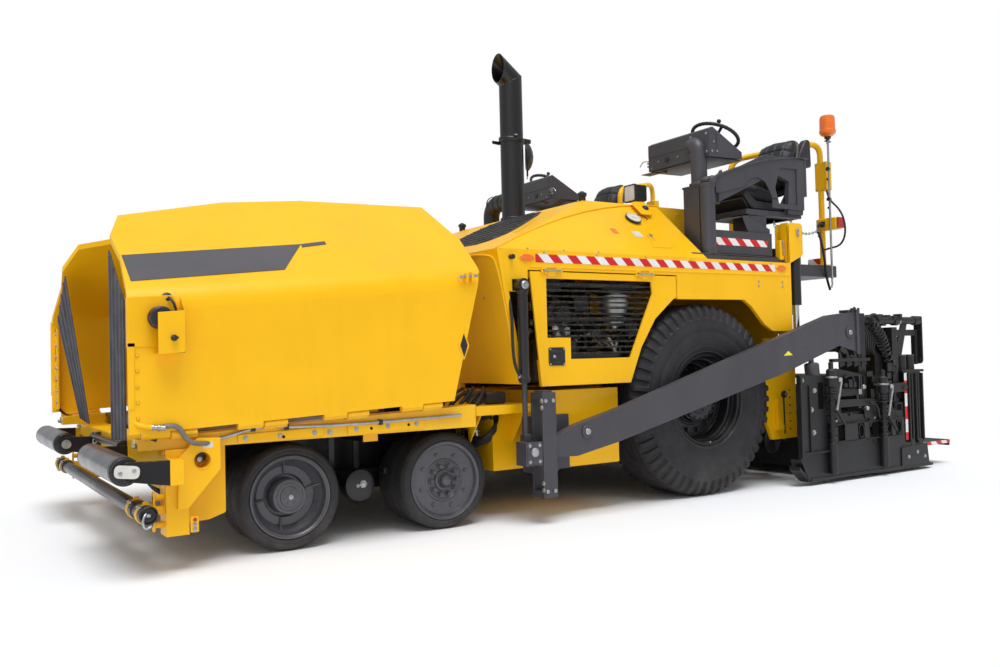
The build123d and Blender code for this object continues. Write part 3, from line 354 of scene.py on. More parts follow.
def light_of(r, g, b):
    """A screen colour of 0 to 255, as the light values that shaders take."""
    c = np.array([r, g, b]) / 255
    return tuple(np.where(c <= 0.04045, c / 12.92, ((c + 0.055) / 1.055) ** 2.4).tolist())


def colour(label, text, r, g, b):
    """A colour setting."""
    return bpy.props.FloatVectorProperty(name=label, description=text, subtype="COLOR", size=3,
        min=0, max=1, default=light_of(r, g, b))


def length(label, text, value):
    """A length setting in metres."""
    return bpy.props.FloatProperty(name=label, description=text, unit="LENGTH", min=0,
        default=value)


class PaverColours(bpy.types.PropertyGroup):
    """Colours of the paint, rubber and metal."""
    yellow: colour("Yellow paint", "Paint of the body, hopper and beam", 252, 190, 4)
    black: colour("Black paint", "Paint of the screed, exhaust and cylinders", 24, 24, 28)
    grey: colour("Grey paint", "Paint of the tow arms, stations and decks", 66, 65, 71)
    roller: colour("Roller paint", "Paint of the push rollers", 84, 84, 90)
    rubber: colour("Tyre rubber", "Rubber of the tyres", 36, 35, 39)
    flap: colour("Flap rubber", "Rubber of the hopper's front flaps", 82, 82, 88)
    steel: colour("Worn steel", "Bare steel that asphalt slides on", 118, 114, 112)
    chrome: colour("Chrome", "Plating of the cylinder rods", 214, 216, 220)
    zinc: colour("Zinc", "Plating of bolts, pipes and fittings", 176, 178, 180)
    vinyl: colour("Seat vinyl", "Cover of the seats", 16, 18, 26)
    red: colour("Hazard red", "Red of the hazard stripes", 214, 26, 28)
    white: colour("Hazard white", "White of the hazard stripes", 240, 240, 238)
    amber: colour("Amber lens", "Lamps and beacon", 250, 118, 14)
    band: colour("Band", "Plain dark band on the wings", 80, 78, 84)


class PaverSizes(bpy.types.PropertyGroup):
    """Sizes of the small work that the solids leave out."""
    bolt: length("Bolt radius", "Half the width of a body bolt's head", 0.010)
    lug: length("Lug depth", "Depth of the drive tyre's lugs", 0.022)
    stripe: length("Stripe pitch", "Length of one red and white pair of hazard stripes", 0.150)
    swell: length("Cushion swell", "Farthest that a point of a cushion moves as it is filled",
        0.022)
    lift: length("Trim lift", "How far thin trim stands off the plate behind it", 0.0015)


# ---------------------------------------------------------------- finishes

class Nodes:
    """A material's node tree, filled one node at a time."""

    def __init__(self, name):
        self.material = bpy.data.materials.new(name)
        self.material.use_nodes = True
        self.tree = self.material.node_tree
        self.tree.nodes.clear()
        self.place = self.new("TexCoord").outputs["Object"]

    def new(self, kind, inputs=(), **settings):
        """One node, its settings, and its inputs given as values or as other nodes' outputs."""
        node = self.tree.nodes.new("ShaderNode" + kind)
        for key, value in settings.items():
            setattr(node, key, value)
        for key, value in dict(inputs).items():
            if isinstance(value, bpy.types.NodeSocket):
                self.tree.links.new(value, node.inputs[key])
            else:
                node.inputs[key].default_value = value
        return node

    def scaled(self, x, y, z, turn=0.0):
        """Object coordinates, scaled differently along each axis."""
        return self.new("Mapping", {"Vector": self.place, "Scale": (x, y, z),
                                    "Rotation": (0, turn, 0)}).outputs[0]

    def noise(self, scale, detail=3.0, rough=0.55, place=None):
        """Cloudy values from 0 to 1."""
        return self.new("TexNoise", {"Vector": place or self.place, "Scale": scale,
                                     "Detail": detail, "Roughness": rough}).outputs[0]

    def spread(self, value, low, high, to_low=0.0, to_high=1.0):
        """Values between low and high spread between two others."""
        return self.new("MapRange", {"Value": value, "From Min": low, "From Max": high,
                                     "To Min": to_low, "To Max": to_high}).outputs[0]

    def maths(self, what, a, b=0.0):
        """One sum on values."""
        return self.new("Math", {0: a, 1: b}, operation=what).outputs[0]

    def mixed(self, amount, a, b, how="MIX"):
        """Two colours mixed by an amount."""
        return self.new("Mix", {0: amount, 6: (*a, 1) if isinstance(a, tuple) else a,
                                7: (*b, 1) if isinstance(b, tuple) else b},
                        data_type="RGBA", blend_type=how).outputs[2]

    def height(self, value, distance, normal, strength=0.5):
        """A bump from a height."""
        return self.new("Bump", {"Height": value, "Distance": distance, "Strength": strength,
                                 "Normal": normal}).outputs[0]

    def inside(self, bounds):
        """1 within a box given as (axis, low, high) in metres, where y is counted both ways."""
        parts = self.new("SeparateXYZ", {0: self.place}).outputs
        total = 1.0
        for axis, low, high in bounds:
            value = self.maths("ABSOLUTE", parts[axis]) if axis == 1 else parts[axis]
            both = self.maths("MULTIPLY", self.maths("GREATER_THAN", value, low),
                self.maths("LESS_THAN", value, high))
            total = self.maths("MULTIPLY", both, total)
        return total

    def shader(self, inputs):
        """The main shader, joined to the output."""
        node = self.new("BsdfPrincipled", inputs)
        out = self.new("OutputMaterial")
        self.tree.links.new(node.outputs[0], out.inputs[0])
        return self.material


def darker(c, share):
    """A colour scaled by a share of its light."""
    return tuple(min(1.0, v * share) for v in tuple(c)[:3])


def coated(name, base, rough=0.4, metallic=0.0, vary=0.10, scale=2.3, grain=260.0, depth=0.0004,
        worn=None, worn_share=0.5, dust=0.10, coat=0.0, edge=0.004, stripes=None, zone=None,
        shine=0.5):
    """A painted, plated or rubber surface: cloudy variation, faint vertical streaks, dust where
    it faces up, a worn colour along the edges, uneven roughness and a fine grain."""
    n = Nodes(name)
    base = tuple(base)[:3]
    cloud = n.noise(scale, 4.0)
    streak = n.noise(1.0, 3.0, 0.6, n.scaled(9, 9, 0.7))
    fine = n.noise(grain, 2.0)
    if stripes is None:
        tone = n.mixed(n.spread(cloud, 0.3, 0.7), darker(base, 1 - vary), darker(base, 1 + vary))
    else:
        other, (dx, dy, dz), pitch = stripes
        flat = n.new("VectorMath", {0: n.place, 1: (dx / pitch, dy / pitch, dz / pitch)},
                     operation="DOT_PRODUCT").outputs["Value"]
        which = n.maths("GREATER_THAN", n.maths("FRACT", flat), 0.5)
        tone = n.mixed(which, base, tuple(other)[:3])
        tone = n.mixed(n.spread(cloud, 0.35, 0.7, 0, 0.18), tone, darker(base, 0.5))
    tone = n.mixed(n.spread(streak, 0.52, 0.72, 0.0, vary * 1.4), tone, darker(base, 0.55))
    if zone is not None:
        bounds, other = zone
        tone = n.mixed(n.inside(bounds), tone, tuple(other)[:3])
    normal = n.new("NewGeometry").outputs["Normal"]
    rounded = n.new("Bevel", {"Radius": edge}, samples=4).outputs[0]
    turn = n.new("VectorMath", {0: rounded, 1: normal}, operation="DOT_PRODUCT").outputs["Value"]
    rim = n.spread(turn, 0.97, 0.80)
    patch = n.spread(n.noise(38.0, 4.0, 0.7), 0.46, 0.60)
    bare = n.maths("MULTIPLY", n.maths("MULTIPLY", rim, patch), worn_share)
    tone = n.mixed(bare, tone, worn or darker(base, 1.35))
    up = n.new("SeparateXYZ", {0: normal}).outputs[2]
    lying = n.maths("MULTIPLY", n.spread(up, 0.25, 0.95), n.spread(n.noise(6.0, 5.0), 0.35, 0.8, 0,
        dust))
    tone = n.mixed(lying, tone, light_of(150, 140, 126))
    glint = n.spread(n.maths("ADD", cloud, n.maths("MULTIPLY", lying, 1.6)), 0.3, 1.0,
        max(rough - 0.07, 0.05), min(rough + 0.20, 0.98))
    return n.shader({"Base Color": tone, "Roughness": glint, "Metallic": metallic,
                     "Specular IOR Level": shine, "Coat Weight": coat, "Coat Roughness": 0.12,
                     "Normal": n.height(fine, depth, rounded)})


def grained(name, base, cell=420.0, depth=0.0007, rough=0.55):
    """Vinyl or moulded plastic: small rounded cells with painted shade in their pits, soft creases
    and slightly polished crowns.
    """
    n = Nodes(name)
    base = tuple(base)[:3]
    cloud = n.noise(5.0, 4.0)
    cells = n.new("TexVoronoi", {"Vector": n.place, "Scale": cell},
                  feature="F1").outputs["Distance"]
    crease = n.noise(26.0, 5.0, 0.65)
    tone = n.mixed(n.spread(cloud, 0.3, 0.7), darker(base, 0.8), darker(base, 1.25))
    # painted shade: the cells' pits, where the bump is lowest, are mixed a quarter of the way to a
    # darker tone
    tone = n.mixed(n.spread(cells, 0.0, 0.5, 0.25, 0.0), tone, darker(base, 0.45))
    rounded = n.new("Bevel", {"Radius": 0.003}, samples=4).outputs[0]
    bump = n.height(crease, 0.0016, n.height(cells, depth, rounded, 0.6), 0.35)
    return n.shader({"Base Color": tone, "Roughness": n.spread(crease, 0.3, 0.7, rough - 0.1,
                                                               rough + 0.12),
                     "Normal": bump, "Sheen Weight": 0.08})


def rubbered(name, base, low_dust=True):
    """Tyre rubber: grey bloom in clouds, fine pores, scuffs, and road dust towards the ground."""
    n = Nodes(name)
    base = tuple(base)[:3]
    cloud, pores = n.noise(7.0, 5.0, 0.65), n.noise(320.0, 3.0)
    scuff = n.noise(22.0, 5.0, 0.75)
    tone = n.mixed(n.spread(cloud, 0.3, 0.7), darker(base, 0.62), darker(base, 1.25))
    tone = n.mixed(n.spread(scuff, 0.58, 0.72, 0, 0.35), tone, darker(base, 2.2))
    rounded = n.new("Bevel", {"Radius": 0.004}, samples=4).outputs[0]
    if low_dust:
        z = n.new("SeparateXYZ", {0: n.place}).outputs[2]
        low = n.maths("MULTIPLY", n.spread(z, 0.30, 0.0), n.spread(cloud, 0.3, 0.7, 0.03, 0.22))
        tone = n.mixed(low, tone, light_of(132, 124, 114))
    return n.shader({"Base Color": tone, "Roughness": n.spread(scuff, 0.3, 0.7, 0.58, 0.82),
                     "Normal": n.height(pores, 0.0006, n.height(scuff, 0.0008, rounded, 0.5))})


def meshed(name, base, pitch=0.012):
    """Wire mesh or a pierced sheet: rows of holes in two directions, painted dark as the shade
    seen through them, between raised wires.
    """
    n = Nodes(name)
    base = tuple(base)[:3]
    parts = n.new("SeparateXYZ", {0: n.place}).outputs
    wave = [n.maths("ABSOLUTE", n.maths("SINE", n.maths("MULTIPLY", parts[k], math.pi / pitch)))
        for k in (0, 1, 2)]
    low = n.maths("MINIMUM", n.maths("MINIMUM", wave[0], wave[1]), wave[2])
    hole = n.spread(low, 0.25, 0.45)
    # painted shade: the holes are mixed to a quarter of the base's light, for the shade seen
    # through them
    tone = n.mixed(hole, darker(base, 1.8), darker(base, 0.25))
    tone = n.mixed(n.spread(n.noise(9.0, 4.0), 0.45, 0.75, 0, 0.3), tone, light_of(120, 112, 100))
    rounded = n.new("Bevel", {"Radius": 0.003}, samples=4).outputs[0]
    return n.shader({"Base Color": tone, "Roughness": n.spread(hole, 0, 1, 0.4, 0.9),
                     "Normal": n.height(n.maths("SUBTRACT", 1.0, hole), 0.003, rounded, 0.8)})


def lensed(name, base, ribs=260.0):
    """Moulded lens plastic: glossy, with close ribs and a deeper tone in cloudy patches."""
    n = Nodes(name)
    base = tuple(base)[:3]
    z = n.new("SeparateXYZ", {0: n.place}).outputs[2]
    rib = n.maths("ABSOLUTE", n.maths("SINE", n.maths("MULTIPLY", z, ribs)))
    tone = n.mixed(n.spread(rib, 0, 1, 0.0, 0.35), base, darker(base, 0.55))
    tone = n.mixed(n.spread(n.noise(30.0, 3.0), 0.4, 0.7, 0, 0.15), tone, darker(base, 1.6))
    normal = n.new("Bevel", {"Radius": 0.002}, samples=4).outputs[0]
    return n.shader({"Base Color": tone, "Roughness": n.spread(rib, 0, 1, 0.10, 0.22),
                     "Coat Weight": 0.6, "Coat Roughness": 0.05,
                     "Normal": n.height(rib, 0.0012, normal)})


def corded(name, base, pitch=0.008):
    """Hose cover: close ribs round it, with painted shade in their troughs, and a dusty bloom."""
    n = Nodes(name)
    base = tuple(base)[:3]
    total = n.new("VectorMath", {0: n.place, 1: (1.0, 0.35, 0.8)}, operation="DOT_PRODUCT")
    rib = n.maths("SINE", n.maths("MULTIPLY", total.outputs["Value"], TAU / pitch))
    tone = n.mixed(n.spread(n.noise(14.0, 4.0), 0.3, 0.7), darker(base, 0.7), darker(base, 1.5))
    # painted shade: the ribs' troughs, where the bump is lowest, are mixed about a third of the
    # way to a darker tone
    tone = n.mixed(n.spread(rib, -1, 1, 0.35, 0.0), tone, darker(base, 0.4))
    normal = n.new("NewGeometry").outputs["Normal"]
    return n.shader({"Base Color": tone, "Roughness": n.spread(rib, -1, 1, 0.42, 0.60),
                     "Normal": n.height(rib, 0.0008, normal)})


looks = {}


def look(name):
    """The finish of that name, made the first time it is asked for."""
    if name not in looks:
        c = bpy.context.scene.paver_colours
        pitch = bpy.context.scene.paver_sizes.stripe
        steel, rust = light_of(150, 150, 150), light_of(116, 84, 60)
        body = {"vary": 0.045, "coat": 0.08, "shine": 0.3, "worn": light_of(255, 222, 120),
                "dust": 0.05}
        film = {"grain": 500, "depth": 0.0001, "edge": 0.001}
        recipes = {
            "yellow": lambda: coated("yellow_paint", c.yellow, 0.40, **body),
            "beam": lambda: coated("beam_paint", c.yellow, 0.40, **body,
                                   zone=([(0, 3.124, 9)], c.black)),
            "door": lambda: coated("door_paint", c.yellow, 0.40, **body,
                                   zone=([(1, 0, 1.3584), (2, 0.984, 1.492)], c.black)),
            # painted shade: below 0.70 m and within 1.205 m of the middle the frame and bogie
            # beams are painted black, for the shade under the hopper and behind the wheels
            "chassis": lambda: coated("chassis_paint_with_painted_shade", c.yellow, 0.40, vary=0.08, coat=0.1,
                                      worn=rust, worn_share=0.3, dust=0.08,
                                      zone=([(1, 0, 1.205), (2, 0, 0.70)], c.black)),
            "screed": lambda: coated("screed_paint", light_of(30, 30, 32), 0.48, vary=0.35,
                                     worn=rust, dust=0.08, scale=4),
            # painted shade: a near-black sheet laid where an opening would show the shade inside
            # it
            "hole": lambda: coated("painted_shade_gap", light_of(9, 9, 10), 0.9, vary=0.3, dust=0.03,
                                   edge=0.001, shine=0.1),
            "amber_film": lambda: coated("yellow_film", light_of(238, 220, 52), 0.4, vary=0.05,
                                         dust=0.05, **film),
            "black": lambda: coated("black_paint", c.black, 0.34, vary=0.25, worn=steel,
                                    worn_share=0.55, dust=0.12, coat=0.15),
            "grey": lambda: coated("grey_paint", c.grey, 0.42, vary=0.14, worn=steel,
                                   worn_share=0.45, dust=0.16),
            "roller": lambda: coated("roller_paint", c.roller, 0.32, metallic=0.25, vary=0.12,
                                     scale=5, worn=steel, dust=0.1, coat=0.2),
            "rim": lambda: coated("rim_paint", c.black, 0.40, vary=0.3, scale=6, worn=steel,
                                  worn_share=0.35, dust=0.16),
            "steel": lambda: coated("worn_steel", c.steel, 0.38, metallic=0.7, vary=0.3, scale=5,
                                    worn=light_of(190, 188, 184), worn_share=0.8, dust=0.25,
                                    depth=0.0008),
            "chrome": lambda: coated("chrome_rod", c.chrome, 0.12, metallic=1.0, vary=0.05,
                                     grain=500, depth=0.0001, dust=0.04),
            "zinc": lambda: coated("zinc_plate", c.zinc, 0.34, metallic=0.85, vary=0.2, scale=30,
                                   grain=600, depth=0.0002, dust=0.1, edge=0.0012),
            "engine": lambda: coated("engine_castings", light_of(64, 64, 66), 0.55, vary=0.3,
                                     scale=7, worn=steel, dust=0.3, depth=0.002),
            "plastic": lambda: grained("moulded_plastic", light_of(30, 30, 33), 700, 0.0003, 0.45),
            "vinyl": lambda: grained("seat_vinyl", c.vinyl, 520, 0.0006, 0.50),
            "trim": lambda: grained("seat_trim", light_of(206, 88, 24), 520, 0.0006, 0.55),
            "tyre": lambda: rubbered("tyre_rubber", c.rubber),
            "flap": lambda: rubbered("flap_rubber", c.flap, False),
            "band": lambda: coated("band_film", c.band, 0.34, vary=0.05, dust=0.06, **film),
            "label": lambda: coated("label_film", light_of(214, 212, 204), 0.42, vary=0.07,
                                    scale=20, dust=0.2, **film),
            "mesh": lambda: meshed("vent_mesh", light_of(34, 34, 36)),
            "amber": lambda: lensed("amber_lens", c.amber),
            "red_lens": lambda: lensed("red_lens", light_of(190, 16, 14)),
            "clear": lambda: lensed("lamp_glass", light_of(205, 210, 214), 420),
            "hose": lambda: corded("hose_cover", light_of(30, 30, 32)),
            "conduit": lambda: corded("conduit", light_of(120, 117, 110), 0.009),
            "hazard_x": lambda: coated("hazard_stripes_long", c.red, 0.36, vary=0.05, dust=0.1,
                                       stripes=(c.white, (1, 0, -1), pitch), **film),
            "hazard_y": lambda: coated("hazard_stripes_cross", c.red, 0.36, vary=0.05, dust=0.1,
                                       stripes=(c.white, (0, 1, 1), pitch), **film),
            "hazard_z": lambda: coated("hazard_stripes_tall", c.red, 0.36, vary=0.05, dust=0.08,
                                       stripes=(c.white, (0, 0, 1), pitch * 1.4), **film),
        }
        looks[name] = recipes[name]()
    return looks[name]


node_looks = {
    "beam": ("front_beam",),
    "door": ("side_door_left", "side_door_right"),
    "chassis": ("main_frame", "bogie_beams"),
    "screed": ("screed_extensions", "screed_frame", "end_gates", "walkway"),
    "yellow": ("front_wall", "guard_rails", "hood", "hood_hatch", "lift_posts",
               "rear_wall", "side_panel_left", "side_panel_right", "side_tanks", "wing_left",
               "wing_right"),
    "grey": ("console_left", "console_right", "deck", "station_left", "station_right",
             "tow_arms", "tow_guides", "tow_points", "pivot_posts"),
    "black": ("lift_cylinders", "tow_cylinders", "bogie_front_knuckle_left",
              "bogie_front_knuckle_right", "bogie_rear_knuckle_left",
              "bogie_rear_knuckle_right", "drive_hubs"),
    "rim": ("drive_rim_left", "drive_rim_right"),
    "steel": ("hopper_floor",),
    "chrome": ("lift_rods",),
    "engine": ("engine_block",),
    "plastic": ("air_intake",),
}


class PaverOperator(bpy.types.Operator):
    """What every step has in common."""
    bl_options = {"REGISTER"}

    def execute(self, context):
        self.make(context.scene.paver_sizes)
        return {"FINISHED"}


class PAVER_OT_finish_solids(PaverOperator):
    """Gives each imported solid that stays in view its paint, metal or rubber"""
    bl_idname = "paver.finish_solids"
    bl_label = "Finish the solids"

    def make(self, sizes):
        for name, nodes in node_looks.items():
            for node in nodes:
                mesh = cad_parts[node].data
                mesh.materials.clear()
                mesh.materials.append(look(name))


class PAVER_OT_stage(PaverOperator):
    """Sets out the floor, the white surroundings, the studio lights and the camera"""
    bl_idname = "paver.stage"
    bl_label = "Stage"

    def make(self, sizes):
        self.set_floor()
        self.set_world()
        self.set_lights()
        self.set_camera()

    def set_floor(self):
        """A disc of rings and spokes; it whitens away from the machine for the camera."""
        ring = np.array([0.01, 3, 6, 12, 30, 80])[:, None, None]
        t = (np.arange(48) * TAU / 48)[None, :, None]
        grid = np.concatenate([ring * np.cos(t), ring * np.sin(t), 0 * ring * t - 0.001], -1)
        mesh = bpy.data.meshes.new("floor")
        mesh.from_pydata(grid.reshape(-1, 3).tolist(), [], quads(6, 48, wrap_cols=True).tolist()
            + [list(range(48))])
        n = Nodes("studio_floor")
        far = n.new("VectorMath", {0: n.place}, operation="LENGTH").outputs["Value"]
        fade = n.spread(far, 3.3, 5.8)
        rays = n.new("LightPath").outputs
        seen = n.maths("MAXIMUM", rays["Is Camera Ray"], n.maths("MAXIMUM", rays["Is Glossy Ray"],
            rays["Is Transmission Ray"]))
        matt = n.new("BsdfDiffuse", {"Color": (0.88, 0.895, 0.92, 1)}).outputs[0]
        white = n.new("Emission", {"Color": (1, 1, 1, 1), "Strength": 1.0}).outputs[0]
        both = n.new("MixShader", {0: n.maths("MULTIPLY", fade, seen), 1: matt, 2: white})
        out = n.new("OutputMaterial")
        n.tree.links.new(both.outputs[0], out.inputs[0])
        mesh.materials.append(n.material)
        floor = bpy.data.objects.new("floor", mesh)
        bpy.context.scene.collection.objects.link(floor)

    def set_world(self):
        """Soft light all round, seen as plain white."""
        world = bpy.data.worlds.new("studio")
        world.use_nodes = True
        tree = world.node_tree
        tree.nodes.clear()
        rays = tree.nodes.new("ShaderNodeLightPath")
        seen = tree.nodes.new("ShaderNodeMath")
        seen.operation = "MAXIMUM"
        both = tree.nodes.new("ShaderNodeMixShader")
        soft, plain = (tree.nodes.new("ShaderNodeBackground") for _ in range(2))
        soft.inputs[0].default_value = (0.97, 0.985, 1, 1)
        soft.inputs[1].default_value = 0.50
        plain.inputs[0].default_value = (1, 1, 1, 1)
        plain.inputs[1].default_value = 1.0
        out = tree.nodes.new("ShaderNodeOutputWorld")
        for a, b in ((rays.outputs["Is Camera Ray"], seen.inputs[0]),
                (rays.outputs["Is Transmission Ray"], seen.inputs[1]),
                (seen.outputs[0], both.inputs[0]), (soft.outputs[0], both.inputs[1]),
                (plain.outputs[0], both.inputs[2]), (both.outputs[0], out.inputs[0])):
            tree.links.new(a, b)
        bpy.context.scene.world = world

    def set_lights(self):
        """A broad key from above on the left, and a low front fill."""
        for name, spot, power, angle in (("key", (1.2, 3.0, 9.0), 2.3, 36),
                ("fill", (6.5, 6.0, 3.2), 0.22, 60)):
            lamp = bpy.data.lights.new(name, "SUN")
            lamp.energy = power
            lamp.angle = math.radians(angle)
            obj = bpy.data.objects.new(name, lamp)
            obj.rotation_euler = Vector(spot).to_track_quat("Z", "Y").to_euler()
            bpy.context.scene.collection.objects.link(obj)

    def set_camera(self):
        """The camera stands ahead and to the left, level with the wheels' tops."""
        yaw, pitch, roll = (math.radians(v) for v in (32.9345, 1.3809, -1.40408))
        ahead = Vector((-math.sin(yaw), -math.cos(yaw), 0))
        across = Vector((-math.cos(yaw), math.sin(yaw), 0))
        look_way = ahead * math.cos(pitch) + Vector((0, 0, math.sin(pitch)))
        rise = -ahead * math.sin(pitch) + Vector((0, 0, math.cos(pitch)))
        right = across * math.cos(roll) + rise * math.sin(roll)
        up = -across * math.sin(roll) + rise * math.cos(roll)
        data = bpy.data.cameras.new("camera")
        data.sensor_width = 36.0
        data.lens = 36.0 * 0.912678
        data.clip_end = 300
        obj = bpy.data.objects.new("camera", data)
        turn = Matrix((right, up, -look_way)).transposed().to_4x4()
        obj.matrix_world = Matrix.Translation((4.156, 5.963, 1.018)) @ turn
        bpy.context.scene.collection.objects.link(obj)
        bpy.context.scene.camera = obj
        bpy.context.scene.view_settings.view_transform = "Standard"


# ---------------------------------------------------------------- wheels

TYRE_WIDE, TYRE_INNER = 0.445, 0.945   # drive tyre: its width, its inner side from the middle
LUGS = 52                              # lugs round a drive tyre


def drive_tyre_shape(centre, axis):
    """A bias tyre. The profile runs from bead to bead over both sidewalls and a tread with
    running grooves; slots between the shoulder lugs are pushed in where a square wave of the
    angle is low, and fade out down the sidewall."""
    depth = bpy.context.scene.paver_sizes.lug
    side = np.array([(34, 330), (16, 340), (6, 362), (4, 378), (6, 382), (2, 396), (0, 430),
        (0, 470), (2, 474), (2, 480), (0, 484), (0, 512), (3, 540), (5, 544), (5, 550), (6, 566),
        (10, 588), (15, 606), (24, 630), (34, 648), (46, 660), (60, 666)])
    tread = [(80, 670), (98, 672)]
    for groove in (108, 158):
        tread += [(groove - 8, 673), (groove - 5, 657), (groove + 5, 657), (groove + 8, WHEEL_Z)]
        tread += [(groove + 24, WHEEL_Z)]
    tread += [(214, WHEEL_Z), (217, 660), (222.5, 659)]
    half = np.vstack([side, tread])
    other = half[-2::-1].copy()
    other[:, 0] = TYRE_WIDE / MM - other[:, 0]
    profile = np.vstack([half, other]) * MM
    per = 8
    t = np.arange(LUGS * per) * TAU / (LUGS * per)
    phase = (np.arange(LUGS * per) % per) / per
    wall = np.minimum(profile[:, 0], TYRE_WIDE - profile[:, 0])
    zone = np.interp(profile[:, 1], [0.574, 0.590, 0.640, 0.667, 0.6715], [0, 1, 1, 0.7, 0])
    zone = zone * (wall < 0.075)
    notch = np.where(phase < 0.38, 1.0, 0.0)[:, None] * zone[None]
    a, b, c = axes_along(axis)
    r = profile[None, :, 1] - notch * depth * 0.7
    y = (TYRE_INNER + profile[None, :, 0] + notch * depth * 0.5
        * np.sign(TYRE_WIDE / 2 - profile[:, 0]))
    spoke = a * np.cos(t)[:, None] + b * np.sin(t)[:, None]
    grid = centre + r[..., None] * spoke[:, None] + y[..., None] * c
    shape = Shape()
    return shape.add(grid, [quads(*grid.shape[:2], True, True)])


class PAVER_OT_drive_wheels(PaverOperator):
    """Makes the lugged drive tyres and their stepped rims, hubs and nuts"""
    bl_idname = "paver.drive_wheels"
    bl_label = "Drive wheels"

    def make(self, sizes):
        for side, s in SIDES:
            axis, centre = (0, s, 0), at(0, 0, WHEEL_Z)
            piece(f"tyre_drive_{side}", f"drive_wheel_{side}", drive_tyre_shape(centre, axis),
                ["tyre"], [f"drive_tyre_{side}"])
            rim = Shape()
            barrel = [(329, 975), (329, 1352), (343, 1360), (347, 1369), (343, 1377), (334, 1378),
                (328, 1371), (326, 1360), (319, 1358), (314, 1364), (306, 1364), (302, 1356),
                (300, 1330), (294, 1322), (292, 1300), (283, 1292), (281, 1215), (277, 1210),
                (277, 975)]
            loop_turned(rim, centre, axis, mm(barrel), 0, 96)
            hub = [(279, 1176), (279, 1200), (262, 1204), (256, 1200), (186, 1200), (180, 1206),
                (172, 1206), (168, 1222), (160, 1226), (156, 1262), (148, 1266), (146, 1288),
                (128, 1296), (104, 1297), (100, 1304), (60, 1305), (56, 1311), (40, 1311),
                (0, 1311)]
            turned(rim, centre, axis, mm([(0, 1176)] + hub), 0, 72,
                   lambda t, row: 1 - 0.03 * ((row > 9) & (row < 14)) * (np.sin(12 * t) > 0.3))
            bolts(rim, ring_line(at(0, s * 1200, WHEEL_Z), axis, 0.222, 14), axis, 0.016, 0.026, 0)
            bolts(rim, ring_line(at(0, s * 1288, WHEEL_Z), axis, 0.137, 16), axis, 0.008, 0.016, 0)
            bolts(rim, ring_line(at(0, s * 1304, WHEEL_Z), axis, 0.080, 8, 0.2), axis, 0.008,
                0.012, 0)
            bolts(rim, [at(0, s * 1310, WHEEL_Z)], axis, 0.020, 0.012, 1)
            tube(rim, [at(0, s * 1340, WHEEL_Z) + [0, 0, -0.303], at(0, s * 1385, WHEEL_Z)
                + [0, 0, -0.296]], 0.006, 1, 8)
            piece(f"rim_drive_{side}", f"drive_wheel_{side}", rim, ["rim", "zinc"],
                [f"drive_rim_{side}"])


